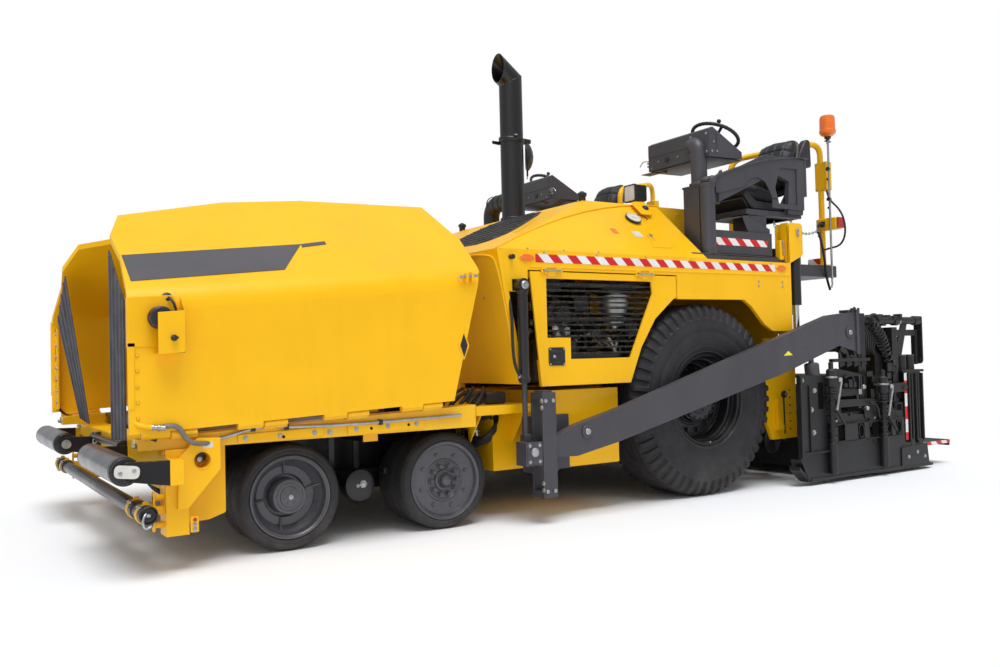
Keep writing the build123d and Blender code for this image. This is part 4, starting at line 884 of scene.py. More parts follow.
class PAVER_OT_bogie_wheels(PaverOperator):
    """Makes the solid-tyred bogie wheels: deep dished ones in front, flat ones behind"""
    bl_idname = "paver.bogie_wheels"
    bl_label = "Bogie wheels"

    def tyre(self, centre, axis, lip):
        """A flat tread with eased shoulders, a stepped sidewall and fine running lines."""
        side = [(lip + 1, 8), (lip + 6, 3), (lip + 20, 1), (lip + 24, 3), (lip + 28, 3), (262, 1),
            (268, 4), (276, 12), (281, 24), (282, 28), (285, 31), (286, 42)]
        tread = [(286, 120), (285.2, 122), (286, 124), (286, 178)]
        half = np.array(side + tread, float)
        other = half[::-1].copy()
        other[:, 1] = 356 - other[:, 1]
        profile = np.vstack([half, other]) + [0, 868]
        shape = Shape()
        return loop_turned(shape, centre, axis, profile * MM, 0, 96)

    def front_rim(self, centre, axis):
        """A deep dish: lip, barrel, cone, disc, a recessed ring, the hub drum and its cap."""
        rim = Shape()
        profile = [(44, 1090), (203, 1090), (203, 880), (224, 872), (226, 1212), (222, 1222),
            (214, 1223), (210, 1216), (203, 1212), (198, 1196), (197, 1172), (192, 1166),
            (172, 1140), (166, 1136), (166, 1128), (160, 1124), (118, 1124), (114, 1120),
            (112, 1102), (98, 1102), (96, 1108), (95, 1192), (90, 1200), (78, 1202), (76, 1199),
            (72, 1199), (70, 1203), (56, 1204), (54, 1212), (46, 1217), (0, 1218)]
        turned(rim, centre, axis, mm(profile), 0, 72)
        a, b, c = axes_along(axis)
        for t in np.deg2rad([18, 98, 190, 262]):
            out, side = a * math.cos(t) + b * math.sin(t), b * math.cos(t) - a * math.sin(t)
            outline = [(0.116, 0), (0.158, 0.0), (0.190, 0.034), (0.190, 0.046), (0.150, 0.016),
                (0.116, 0.010)]
            prism(rim, outline, centre + c * 1.122 - side * 0.005, out, c, 0.010, 0.0015)
        bolts(rim, ring_line(centre + c * 1.213, axis, 0.034, 6), axis, 0.008, 0.009, 0, False)
        bolts(rim, [centre + c * 1.217], axis, 0.013, 0.006, 1, False, 12)
        return rim

    def rear_rim(self, centre, axis):
        """A flat disc with a raised ring, ten wheel nuts, a domed cap and eight outer bolts."""
        rim = Shape()
        profile = [(44, 1140), (203, 1140), (203, 880), (224, 872), (233, 1212), (231, 1221),
            (224, 1223), (218, 1218), (213, 1217), (207, 1206), (204, 1192), (198, 1188),
            (128, 1187), (122, 1193), (112, 1194), (108, 1190), (64, 1190), (62, 1200), (56, 1203),
            (47, 1203), (45, 1214), (34, 1228), (18, 1238), (0, 1240)]
        turned(rim, centre, axis, mm(profile), 0, 72)
        c = np.array(axis, float)
        bolts(rim, ring_line(centre + c * 1.190, axis, 0.086, 10), axis, 0.014, 0.024)
        bolts(rim, ring_line(centre + c * 1.202, axis, 0.086, 10), axis, 0.006, 0.018, 0, False, 8)
        bolts(rim, ring_line(centre + c * 1.187, axis, 0.156, 8, 0.3), axis, 0.010, 0.012)
        return rim

    def make(self, sizes):
        for side, s in SIDES:
            axis = np.array([0.0, s, 0])
            for end, x, rim, lip in (("front", 2983, self.front_rim, 225),
                    ("rear", 2030, self.rear_rim, 232)):
                centre = at(x, 0, BOGIE_Z)
                body = f"bogie_{end}_wheel_{side}"
                piece(f"tyre_{end}_{side}", body, self.tyre(centre, axis, lip), ["tyre"], [body])
                piece(f"rim_{end}_{side}", body, rim(centre, axis), ["roller", "zinc"])


class PAVER_OT_pivots(PaverOperator):
    """Makes the bogie pivots' caps, their pins and grease fittings"""
    bl_idname = "paver.pivots"
    bl_label = "Bogie pivots"

    def make(self, sizes):
        shape = Shape()
        for _, s in SIDES:
            axis, centre = (0, s, 0), at(2507, 0, BOGIE_Z)
            cap = [(0, 940), (84, 940), (92, 948), (94, 985), (90, 992), (88, 1000), (96, 1006),
                (96, 1046), (90, 1056), (76, 1060), (0, 1060)]
            turned(shape, centre, axis, mm(cap), 0, 40)
            bolts(shape, [at(2490, s * 1060, 292)], axis, 0.016, 0.010, 1)
            bolts(shape, [at(2524, s * 1060, 286)], axis, 0.008, 0.008, 1)
            for x0, x1 in ((2400, 2440), (2560, 2600)):
                block(shape, at(x0, s * 800, 330), at(x1, s * 812, 560), 0.003, 0)
            block(shape, at(2230, s * 930, 330), at(2330, s * 1010, 372), 0.008, 0)
            turned(shape, at(2290, 0, 340), axis, mm([(0, 1008), (17, 1008), (17, 1030),
                (12, 1034), (12, 1060), (0, 1060)]), 1, 16)
        piece("bogie_pivots", "machine", shape, ["black", "zinc"])


class PAVER_OT_steering_links(PaverOperator):
    """Makes the tie rods' ends and rubber boots behind the bogie wheels"""
    bl_idname = "paver.steering_links"
    bl_label = "Steering links"

    def make(self, sizes):
        shape = Shape()
        for _, s in SIDES:
            for x in (2760, 2250):
                hose(shape, [(x, 560, 240), (x + 30, 700, 235), (x + 60, 780, 250)], s, 6, 0.016,
                    0, 10)
                turned(shape, at(x, s * 560, 240), (0, s, 0), mm([(0, 0), (22, 0), (26, 10),
                    (20, 18), (26, 26), (20, 34), (26, 42), (18, 52), (0, 52)]), 0, 16)
        piece("steering_links", "machine", shape, ["black"])


# ---------------------------------------------------------------- the front

class PAVER_OT_push_rollers(PaverOperator):
    """Makes the push rollers: rolled skins between stepped end rings"""
    bl_idname = "paver.push_rollers"
    bl_label = "Push rollers"

    def make(self, sizes):
        for side, s in SIDES:
            shape = Shape()
            centre, axis = at(3860, 0, 520), (0, s, 0)
            skin = [(40, 510), (66, 510), (69, 514), (69.8, 524), (69.8, 1396), (69, 1404),
                (66, 1408), (40, 1408)]
            turned(shape, centre, axis, mm(skin), 0, 48)
            for a, b in ((508, 482), (1408, 1440)):
                k = 1 if b > a else -1
                end = [(38, a), (64, a), (64, a + 4 * k), (69, a + 6 * k), (69.8, a + 12 * k),
                    (69, b - 9 * k), (62, b - 7 * k), (60, b - 2 * k), (50, b - 1.5 * k), (38, b)]
                turned(shape, centre, axis, mm(end), 1, 48)
            piece(f"roller_{side}", f"push_roller_{side}", shape, ["roller", "black"],
                [f"push_roller_{side}"])
        ends = Shape()
        for _, s in SIDES:
            outline = eased(oblong(-0.056, -0.03, 0.056, 0.03), 0.030, 6)
            prism(ends, outline * [s, 1], at(3858, s * 1476, 522), (-1, 0, -0.12 * s),
                (-0.12 * s, 0, 1), 0.010, 0.0015, 0)
            bolts(ends, at([3828, 3888], s * 1487, [526, 518]), (0, s, 0), 0.007, 0.004, 1)
            tube(ends, [at(3860, s * 446, 520), at(3860, s * 428, 520)], 0.028, 1, 20)
        piece("roller_plates", "machine", ends, ["label", "zinc"])


class PAVER_OT_hitch(PaverOperator):
    """Makes the hitch tube with its clamp rings, end discs, hooks and brackets"""
    bl_idname = "paver.hitch"
    bl_label = "Hitch"

    def make(self, sizes):
        shape = Shape()
        centre, axis = at(3760, 0, 307), (0, 1, 0)
        bar = [(0, -1450), (32, -1450), (37, -1446), (38, -1436), (38, 1436), (37, 1446),
            (32, 1450), (22, 1450), (20, 1444), (0, 1444)]
        turned(shape, centre, axis, mm(bar), 0, 40)
        for y in (-1390, -1180, 1180, 1390):
            ring = [(37, y - 16), (49, y - 14), (50, y - 10), (50, y + 10), (49, y + 14),
                (37, y + 16)]
            loop_turned(shape, centre, axis, mm(ring), 1, 40)
            sleeve = [(37, y - 70), (44, y - 66), (45, y - 60), (45, y + 60), (44, y + 66),
                (37, y + 70)]
            loop_turned(shape, centre, axis, mm(sleeve), 0, 40)
            bolts(shape, [at(3760 + 30, y + 24, 342), at(3760 + 30, y - 24, 342)], (0.6, 0, 1),
                0.008, 0.009, 2)
            block(shape, at(3748, y - 11, 348), at(3772, y + 11, 366), 0.003, 1)
        for _, s in SIDES:
            block(shape, at(3750, s * 1446, 299), at(3770, s * 1453, 315), 0.002, 2)
            for z in (367, 235):
                tube(shape, [at(3655, s * 1300, z), at(3700, s * 1300, z)], 0.016, 1, 20)
                bolts(shape, [at(3698, s * 1300, z)], (1, 0, 0), 0.013, 0.012, 2)
            prism(shape, eased(oblong(0, 0, 0.03, 0.195), 0.006), at(3700, s * 1300 - 15, 203),
                (0, 1, 0), (0, 0, 1), 0.010, 0.001, 1)
            hose(shape, [(3772, 1458, 318), (3790, 1470, 300), (3788, 1474, 262),
                (3770, 1474, 246), (3752, 1472, 262)], s, 5, 0.006, 2, 8)
            block(shape, at(3640, s * 1270, 287), at(3764, s * 1330, 327), 0.006, 1)
        piece("hitch_tube", "machine", shape, ["black", "yellow", "zinc"], ["hitch_bar"])


class PAVER_OT_front_fittings(PaverOperator):
    """Makes the front beam's bolts, lamps, sockets, chains, links and hidden arms"""
    bl_idname = "paver.front_fittings"
    bl_label = "Front fittings"

    def make(self, sizes):
        shape = Shape()
        for _, s in SIDES:
            y = s * 1382
            block(shape, at(3437, y, 597), at(3487, y + s * 1.2, 628), 0.0005, 2)
            bolts(shape, at([3428, 3428], s * 1372, [600, 560]), (0, s, 0), 0.006, 0.005, 1)
            knob(shape, 3490, 540, s, [(0, 1316), (13, 1316), (15, 1322), (13, 1334), (0, 1336)],
                1, 16)
            knob(shape, 3480, 548, s, oblong(0, 1312, 24, 1318), 3, 20)
            rim = [(40, 1381), (45, 1381), (46, 1383), (45, 1385), (40, 1385)]
            loop_turned(shape, at(3490, 0, 540), (0, s, 0), mm(rim), 0, 40)
            block(shape, at(3508, s * 1362, 190), at(3548, s * 1374, 268), 0.003, 0)
            bolts(shape, at([3528], s * 1374, [252]), (0, s, 0), 0.009, 0.006, 4, False, 10)
            bolts(shape, at([3528, 3528], s * 1374, [228, 206]), (0, s, 0), 0.008, 0.005, 1)
            block(shape, at(3665, s * 1120, 452), at(3672, s * 1225, 522), 0.004, 3)
            bolts(shape, at(3663, s * np.array([1352, 1352, 1248, 1248]), [580, 425, 580, 425]),
                (1, 0, 0), 0.008, 0.006, 0)
            bolts(shape, at([3060, 2800, 2560, 2330], s * 1331, [622, 628, 634, 640]), (0, s, 0),
                0.011, 0.008, 1)
            hose(shape, [(3790, 1330, 715), (3770, 1352, 690), (3745, 1362, 668),
                (3700, 1366, 650)], s, 8, 0.009, 3, 10)
            for k, z in ((0, 640), (14, 622), (-10, 610)):
                turned(shape, at(3776 + k, s * 1300, z), (0.4, s, 0.2),
                    mm([(0, -16), (8, -16), (11, -8), (11, 8), (7, 14), (0, 14)]), 1, 10)
        # cross tube and loose chain between the rollers
        tube(shape, [at(3700, -470, 560), at(3700, 470, 560)], 0.022, 3, 20)
        for y in (-420, 420):
            block(shape, at(3655, y - 14, 500), at(3712, y + 14, 590), 0.005, 3)
        chain(shape, bent([at(3712, 300, 556), at(3722, 300, 480), at(3722, 330, 440)], 10), 0.007,
            1)
        chain(shape, bent([at(3712, -300, 556), at(3722, -300, 480), at(3722, -270, 440)], 10),
            0.007, 1)
        for y in (-440, 0, 440):
            block(shape, at(3655, y - 60, 415), at(3668, y + 60, 470), 0.004, 0)
            bolts(shape, at(3668, [y - 40, y + 40], 442), (1, 0, 0), 0.010, 0.008, 1)
        piece("front_fittings", "machine", shape, ["yellow", "zinc", "label", "black", "red_lens"])
        pipe = Shape()
        for _, s in SIDES:
            yellow_run = bent(mirrored([at(3808, 1352, 900), at(3808, 1372, 760),
                at(3790, 1390, 722), at(3728, 1402, 716)], s), 8)
            tube(pipe, yellow_run, 0.014, 0, 16)
            turned(pipe, yellow_run[-1], unit(yellow_run[-1] - yellow_run[-2]),
                mm([(0, -2), (14, -2), (15, 6), (12, 10), (12, 24), (17, 27), (17, 34), (13, 36),
                (13, 60), (0, 60)]), 1, 12)
            hose(pipe, [(3676, 1402, 716), (3610, 1404, 730), (3570, 1404, 640), (3500, 1396, 618),
                (3440, 1364, 622)], s, 12, 0.0125, 2, 14)
            steel_run = bent(mirrored([at(3396, 1344, 636), at(3330, 1346, 650),
                at(3180, 1348, 690), at(3000, 1348, 668), at(2500, 1346, 664),
                at(1990, 1344, 676)], s), 10)
            tube(pipe, steel_run, 0.009, 1, 10)
            for k in (12, 22, 34):
                p = steel_run[k]
                block(pipe, p + [-0.012, -s * 0.014, -0.016], p + [0.012, s * 0.012, 0.014], 0.003,
                    3)
        piece("wing_pipes", "machine", pipe, ["yellow", "zinc", "conduit", "black"])


# ---------------------------------------------------------------- plates on the machine's faces

def plate_y(shape, outline, y, thick, s=1, finish=0, ease=6, bevel=1.5):
    """An outline of (x, z), in millimetres, standing on a side face and growing outwards."""
    o = eased(mm(outline), ease * MM) + [AXLE_X, 0]
    return prism(shape, o, (0, s * y * MM, 0), (1, 0, 0), (0, 0, 1), -s * thick * MM, bevel * MM,
        finish)


def plate_x(shape, outline, x, thick, finish=0, ease=6, bevel=1.5):
    """An outline of (y, z), in millimetres, carried forwards from x."""
    o = eased(mm(outline), ease * MM)
    return prism(shape, o, (x * MM + AXLE_X, 0, 0), (0, 1, 0), (0, 0, 1), thick * MM, bevel * MM,
        finish)


def plate_z(shape, outline, z, thick, finish=0, ease=6, bevel=1.5):
    """An outline of (x, y), in millimetres, carried upwards from z."""
    o = eased(mm(outline), ease * MM) + [AXLE_X, 0]
    return prism(shape, o, (0, 0, z * MM), (1, 0, 0), (0, 1, 0), thick * MM, bevel * MM, finish)


def plate_slope(shape, outline, thick, finish=0, ease=6, lift=1.0):
    """An outline of (x, y) laid on the hood's front slope, which rises 445 over 1070."""
    o = np.array(outline, float)
    o = np.stack([o[:, 1], (1730 - o[:, 0]) / 0.9233], -1) * MM
    up = unit(np.array([-1.07, 0, 0.445]))
    out = unit(np.array([0.445, 0, 1.07]))
    return prism(shape, eased(o, ease * MM), at(1730, 0, 1665) + out * lift * MM, (0, 1, 0), up,
        thick * MM, 0.0015, finish)


def plate_flank(shape, outline, thick, s, finish=0, ease=6, lift=1.0):
    """An outline of (x, z) laid on a side slope of the hood, which leans in 510 over 445."""
    o = np.array(outline, float)
    o = np.stack([o[:, 0], (o[:, 1] - 1665) / 0.6574], -1) * MM + [AXLE_X, 0]
    up = unit(np.array([0, -0.510 * s, 0.445]))
    out = unit(np.array([0, 0.445 * s, 0.510]))
    return prism(shape, eased(o, ease * MM), np.array([0, s * 1.370, 1.665]) + out * lift * MM,
        (1, 0, 0), up, -s * thick * MM, 0.0015, finish)


def flank(x, z, s, lift=0):
    """A place on a side slope of the hood."""
    out = unit(np.array([0, 0.445 * s, 0.510]))
    return at(x, s * (1370 - (np.asarray(z) - 1665) * 0.510 / 0.445), z) + out * lift * MM


def oval(x, z, wide, high, count=24):
    """An oval outline."""
    t = np.arange(count) * TAU / count
    return np.stack([x + wide / 2 * np.cos(t), z + high / 2 * np.sin(t)], -1)


# ---------------------------------------------------------------- hopper wings

FLAP_ROWS, FLAP_COLS = 14, 10   # grid of a front flap
FLAP_HALF = 0.0045              # half a front flap's thickness, metres


def wing_patch(shape, corners, lift, finish, thick=0.0015):
    """A thin curved film between four corner places: straight lines between two edges, given
    a small thickness along its own square direction."""
    c = np.asarray(corners, float)
    u, v = np.linspace(0, 1, 24)[:, None, None], np.linspace(0, 1, 6)[None, :, None]
    low = (1 - u) * c[0] + u * c[1]
    high = (1 - u) * c[3] + u * c[2]
    face = (1 - v) * low + v * high
    out = unit(np.cross(c[1] - c[0], c[3] - c[0]))
    if out[2] < 0:
        out = -out
    both = np.stack([face + out * lift, face + out * (lift + thick)])
    edge = np.concatenate([both[:, :, 0], both[:, -1, 1:], both[:, ::-1, -1][:, 1:],
        both[:, 0, ::-1][:, 1:-1]], 1)
    count = edge.shape[1]
    shape.add(both[0], [quads(24, 6)], finish)
    shape.add(both[1], [quads(24, 6)], finish)
    return shape.add(edge, [quads(2, count, wrap_cols=True)], finish)


def wing_grid(corners, rows, cols):
    """A ruled surface: straight lines from the edge (first, last) to the edge (second, third)."""
    c = np.asarray(corners, float)
    u, v = np.linspace(0, 1, rows)[:, None, None], np.linspace(0, 1, cols)[None, :, None]
    return (1 - v) * ((1 - u) * c[0] + u * c[3]) + v * ((1 - u) * c[1] + u * c[2])


def touch(body_node, origin, direction):
    """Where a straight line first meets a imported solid."""
    hit, place, normal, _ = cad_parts[body_node].ray_cast(Vector(origin), Vector(direction))
    if not hit:
        raise RuntimeError(f"nothing of {body_node} lies that way")
    return np.array(place), np.array(normal)


class PAVER_OT_wing_fittings(PaverOperator):
    """Makes the wings' front flaps, reflector strips, holder boxes, bands, edges and bolts"""
    bl_idname = "paver.wing_fittings"
    bl_label = "Wing fittings"

    def make(self, sizes):
        for side, s in SIDES:
            shape = Shape()
            plate_y(shape, [(3832, 1100), (3832, 1338), (3618, 1350), (3580, 1228), (3586, 1100)],
                1362, 32, s, 0, 4, 2)
            plate_y(shape, [(3832, 804), (3832, 1120), (3798, 1120), (3804, 804)], 1382, 12, s, 0,
                3, 1.5)
            # open holder: a face, a floor and one side
            plate_y(shape, [(3712, 1062), (3712, 1262), (3588, 1272), (3588, 1072)], 1484, 3, s, 0,
                3, 1)
            plate_z(shape, oblong(3588, s * 1392, 3712, s * 1486), 1066, 3, 0, 3, 1)
            prism(shape, np.array([(1.392, 1.066), (1.486, 1.066), (1.486, 1.272), (1.392, 1.350)])
                * [s, 1], at(3586, 0, 0), (0, 1, 0), (0, 0, 1), 0.003, 0.001, 0)
            plug = [(0, 1404), (50, 1404), (54, 1410), (54, 1426), (48, 1430), (48, 1448),
                (54, 1452), (54, 1470), (46, 1476), (0, 1476)]
            knob(shape, 3690, 1238, s, plug, 3, 28,
                lambda t, row: 1 - 0.05 * (np.sin(9 * t) > 0.4) * ((row > 1) & (row < 7)))
            loop_turned(shape, at(3690, 0, 1238), (0, s, 0), mm(oblong(54, 1412, 56, 1424)), 4, 28)
            hose(shape, [(3642, 1400, 1338), (3628, 1430, 1322), (3614, 1440, 1262),
                (3606, 1430, 1190), (3630, 1430, 1110)], s, 8, 0.007, 3, 10)
            turned(shape, at(3645, s * 1372, 1336), (0, s, 0.4),
                mm([(0, 0), (24, 0), (26, 6), (24, 14), (14, 20), (0, 20)]), 3, 20)
            knob(shape, 3640, 1140, s, [(0, 1486), (15, 1486), (16, 1492), (11, 1498), (9, 1512),
                (0, 1514)], 3, 16)
            block(shape, at(3622, s * 1500, 1134), at(3658, s * 1512, 1147), 0.004, 3)
            bolts(shape, at(3804, s * 1320, np.linspace(760, 1250, 7)), (1, 0, 0), 0.011, 0.008, 2)
            plate_x(shape, oblong(s * 1352, 730, s * 1358, 1290), 3803, 1.5, 5, 0.5, 0.4)
            bolts(shape, at(3789, s * 1392, np.linspace(760, 1060, 5)), (0, s, 0), 0.007, 0.004, 0)
            # front flap: a ruled sheet under the wing's slope; the right one trails backwards
            tail_x = 3800 - 130 * (s < 0)
            grid = wing_grid(at([3806, 3806, tail_x, tail_x], s * np.array([1184, 805, 785, 1158]),
                [1337, 1626, 622, 646]), FLAP_ROWS, FLAP_COLS)
            half = np.array([FLAP_HALF, 0, 0])
            for face in (grid - half, grid + half):
                shape.add(face, [quads(FLAP_ROWS, FLAP_COLS)], 1)
            edge = np.concatenate([grid[0, :-1], grid[:-1, -1], grid[-1, :0:-1], grid[:0:-1, 0]])
            shape.add(np.stack([edge - half, edge + half]), [quads(2, len(edge), wrap_cols=True)],
                1)
            for share in (0.12, 0.37, 0.62, 0.87):
                k = share * (FLAP_COLS - 1)
                low, high = grid[:, int(k)], grid[:, int(k) + 1]
                tube(shape, low * (1 - k % 1) + high * (k % 1) + [0.006, 0, 0], 0.007, 1, 8)
            # the wing's upper edge, rounded over and latched at the rear
            lines = []
            for x, y in ((3792, 1290), (3010, 1262), (2830, 1030), (3792, 1068)):
                place, _ = touch(f"wing_{side}", at(x, s * y, 2600), (0, 0, -1))
                lines.append(place)
            wing_patch(shape, lines, sizes.lift, 6)
            tail, _ = touch(f"wing_{side}", at(2680, s * 1010, 2600), (0, 0, -1))
            tip, _ = touch(f"wing_{side}", at(2680, s * 1040, 2600), (0, 0, -1))
            wing_patch(shape, [touch(f"wing_{side}", at(2834, s * 1062, 2600), (0, 0, -1))[0], tip,
                tail, lines[2]], sizes.lift, 6)
            for x, z in ((1962, 1478), (1925, 1484)):
                block(shape, at(x, s * 1386, z - 34), at(x + 14, s * 1424, z + 26), 0.003, 0)
            tube(shape, [at(1895, s * 1408, 1490), at(2010, s * 1408, 1480)], 0.009, 2, 12)
            tube(shape, ring_line(at(2014, s * 1408, 1466), (0, 1, 0), 0.014, 16), 0.002, 2, 6,
                closed=True)
            plate_y(shape, oval(1988, 1082, 74, 176, 4), 1389, 6, s, 0, 2, 1)
            plate_y(shape, oval(1988, 1082, 50, 138, 4), 1394, 3, s, 3, 2, 1)
            turned(shape, at(2690, s * 620, 1700), (0, -s * 0.3, 1),
                mm([(0, 196), (18, 196), (22, 199), (18, 203), (0, 203)]), 3, 20)
            piece(f"wing_fittings_{side}", f"wing_{side}", shape,
                ["yellow", "flap", "zinc", "plastic", "red_lens", "hazard_z", "band"])


# ---------------------------------------------------------------- body

class PAVER_OT_body_fittings(PaverOperator):
    """Makes the hazard strips, lamps, knobs, side plates, bolts and sills of the body"""
    bl_idname = "paver.body_fittings"
    bl_label = "Body fittings"

    def make(self, sizes):
        shape = Shape()
        for _, s in SIDES:
            plate_y(shape, [(-742, 1594), (1448, 1588), (1448, 1640), (-742, 1644)], 1370.2, 1.4,
                s, 1, 1, 0.4)
            for x, z in ((1512, 1613), (-808, 1622)):
                plate_y(shape, oval(x, z, 104, 46), 1370, 9, s, 2, 2, 3)
                plate_y(shape, oval(x, z, 116, 56), 1369.8, 3, s, 0, 2, 1)
            knob(shape, 1632, 1614, s, [(0, 1360), (15, 1360), (15, 1374), (11, 1378), (11, 1386),
                (16, 1392), (15, 1402), (0, 1405)], 3, 16)
            bolts(shape, at([1380, 960, 540, 120, -300, -700], s * 1370, 1652), (0, s, 0), 0.005,
                0.004, 4)
            for z in (1516, 1482):
                bolts(shape, at([-560, -820], s * 1370, z), (0, s, 0), 0.007, 0.005, 4)
            # stiffening lips round the body side and the wheel arch
            hose(shape, [(1490, 1368, 1560), (1000, 1368, 1562), (0, 1368, 1566),
                (-900, 1368, 1570)], s, 4, 0.007, 0, 8)
            plate_y(shape, [(3560, 215), (3560, 598), (3336, 598), (3336, 250), (3420, 222)], 1226,
                10, s, 0, 8)
            plate_y(shape, [(3300, 606), (3300, 648), (2840, 660), (2840, 612)], 1331, 8, s, 0, 6)
            plate_y(shape, [(2700, 606), (2700, 664), (2230, 676), (2230, 612)], 1331, 8, s, 0, 6)
            bolts(shape, at([3260, 3080, 2890, 2650, 2460, 2280], s * 1339,
                [628, 630, 633, 636, 640, 643]), (0, s, 0), sizes.bolt, 0.007, 4)
            # painted shade: a dark plastic sheet inside, behind the bogie wheels under the hopper
            plate_y(shape, [(3320, 270), (3320, 598), (1640, 598), (1640, 300)], 652, 8, s, 3, 30)
            # shelf edge, boxes and gussets behind the rear bogie wheel
            plate_y(shape, upright(1870, 662, 1440, 716), 1311, 10, s, 0, 6)
            for x in (1500, 1820):
                plate_x(shape, np.array([(1150, 662), (1300, 662), (1150, 470)]) * [s, 1], x, 8, 0,
                    6)
            block(shape, at(1560, s * 900, 716), at(1700, s * 1180, 790), 0.01, 3)
            for n in range(9):
                y = 1080 + 18 * (n % 4) + 8 * n
                rise = 0.9 + 0.02 * (n % 3)
                hose(shape, [(1860 - 24 * n, y - 60, 840 * rise + 30),
                    (1960 - 30 * n, y, 812 - 6 * n), (2075 - 34 * n, y + 20, 770 - 12 * n),
                    (2110 - 40 * n, y + 30, 640), (2120 - 46 * n, y - 60, 540)], s, 9, 0.011, 5,
                    10)
            for n in range(6):
                hose(shape, [(1760, 1000 + 14 * n, 650 - 12 * n), (1700 - 20 * n, 1120, 668),
                    (1610 + 6 * n, 1150 + 10 * n, 600), (1650 + 18 * n, 1130, 470),
                    (1770, 1010, 440 + 22 * n)], s, 9, 0.010, 5, 10)
            for x, z in ((1700, 690), (1760, 560), (2090, 690)):
                turned(shape, at(x, s * 1130, z), (0.3, s * 0.2, 1),
                    mm([(0, -34), (16, -30), (16, -6), (20, -4), (20, 8), (14, 12), (14, 34),
                    (0, 38)]), 4, 12)
            # rear skirt: knob, long slot handle, holes and ledge
            knob(shape, -932, 668, s, [(0, 1250), (26, 1250), (30, 1256), (26, 1266), (12, 1268),
                (12, 1276), (0, 1278)], 3, 20)
            knob(shape, -932, 668, s, [(0, 1274), (11, 1274), (11, 1284), (0, 1286)], 4, 12)
            plate_y(shape, [(-944, 366), (-930, 366), (-925, 640), (-940, 640)], 1250, 6, s, 3, 5)
            bolts(shape, at(-1006, s * 1250, np.linspace(400, 700, 6)), (0, s, 0), 0.006, 0.003, 3)
            plate_y(shape, [(-905, 396), (-836, 400), (-830, 620), (-850, 640), (-858, 470),
                (-905, 440)], 1250, 26, s, 0, 6)
            plate_y(shape, [(-748, 1190), (-748, 1320), (-900, 1340), (-900, 1190)], 1250, 4, s, 0)
            # front wall seams and bolts
            lip = [at(1738, s * 880, 1650), at(1738, s * 1300, 1650), at(1712, s * 1352, 1560),
                at(1632, s * 1352, 1130), at(1588, s * 1352, 860)]
            tube(shape, bent(lip, 5), 0.008, 0, 8)
        for y in np.linspace(-1150, 1150, 7):
            bolts(shape, at([1738, 1690], y, [1640, 1380]), (1, 0, -0.18), 0.007, 0.005, 4)
        piece("body_fittings", "machine", shape, ["yellow", "hazard_x", "amber", "plastic", "zinc",
            "hose"])


class PAVER_OT_door_fittings(PaverOperator):
    """Makes the doors' paddle latches and hinge pins"""
    bl_idname = "paver.door_fittings"
    bl_label = "Door fittings"

    def make(self, sizes):
        for side, s in SIDES:
            shape = Shape()
            plate_y(shape, oblong(1240, 946, 1366, 1060), 1370, 6, s, 0, 14)
            plate_y(shape, oblong(1262, 966, 1344, 1040), 1375, 5, s, 0, 8)
            plate_y(shape, oblong(1268, 972, 1310, 1034), 1379, 4, s, 0, 8)
            knob(shape, 1328, 1004, s, [(0, 1379), (10, 1379), (10, 1383), (0, 1384)], 1, 12)
            bolts(shape, at([1251, 1355, 1251, 1355], s * 1375.5, [957, 957, 1049, 1049]),
                (0, s, 0), 0.006, 0.003, 1, False)
            for x in (1330, 560):
                block(shape, at(x - 50, s * 1371, 1512), at(x + 50, s * 1377, 1530), 0.002, 2)
                tube(shape, [at(x - 66, s * 1384, 1538), at(x + 66, s * 1384, 1538)], 0.006, 1, 12)
                for dx in (-60, 60):
                    turned(shape, at(x + dx, s * 1384, 1538), (1, 0, 0),
                        mm([(0, -6), (9, -6), (10, 0), (9, 6), (0, 6)]), 1, 12)
            piece(f"door_fittings_{side}", f"side_door_{side}", shape, ["black", "zinc", "yellow"])


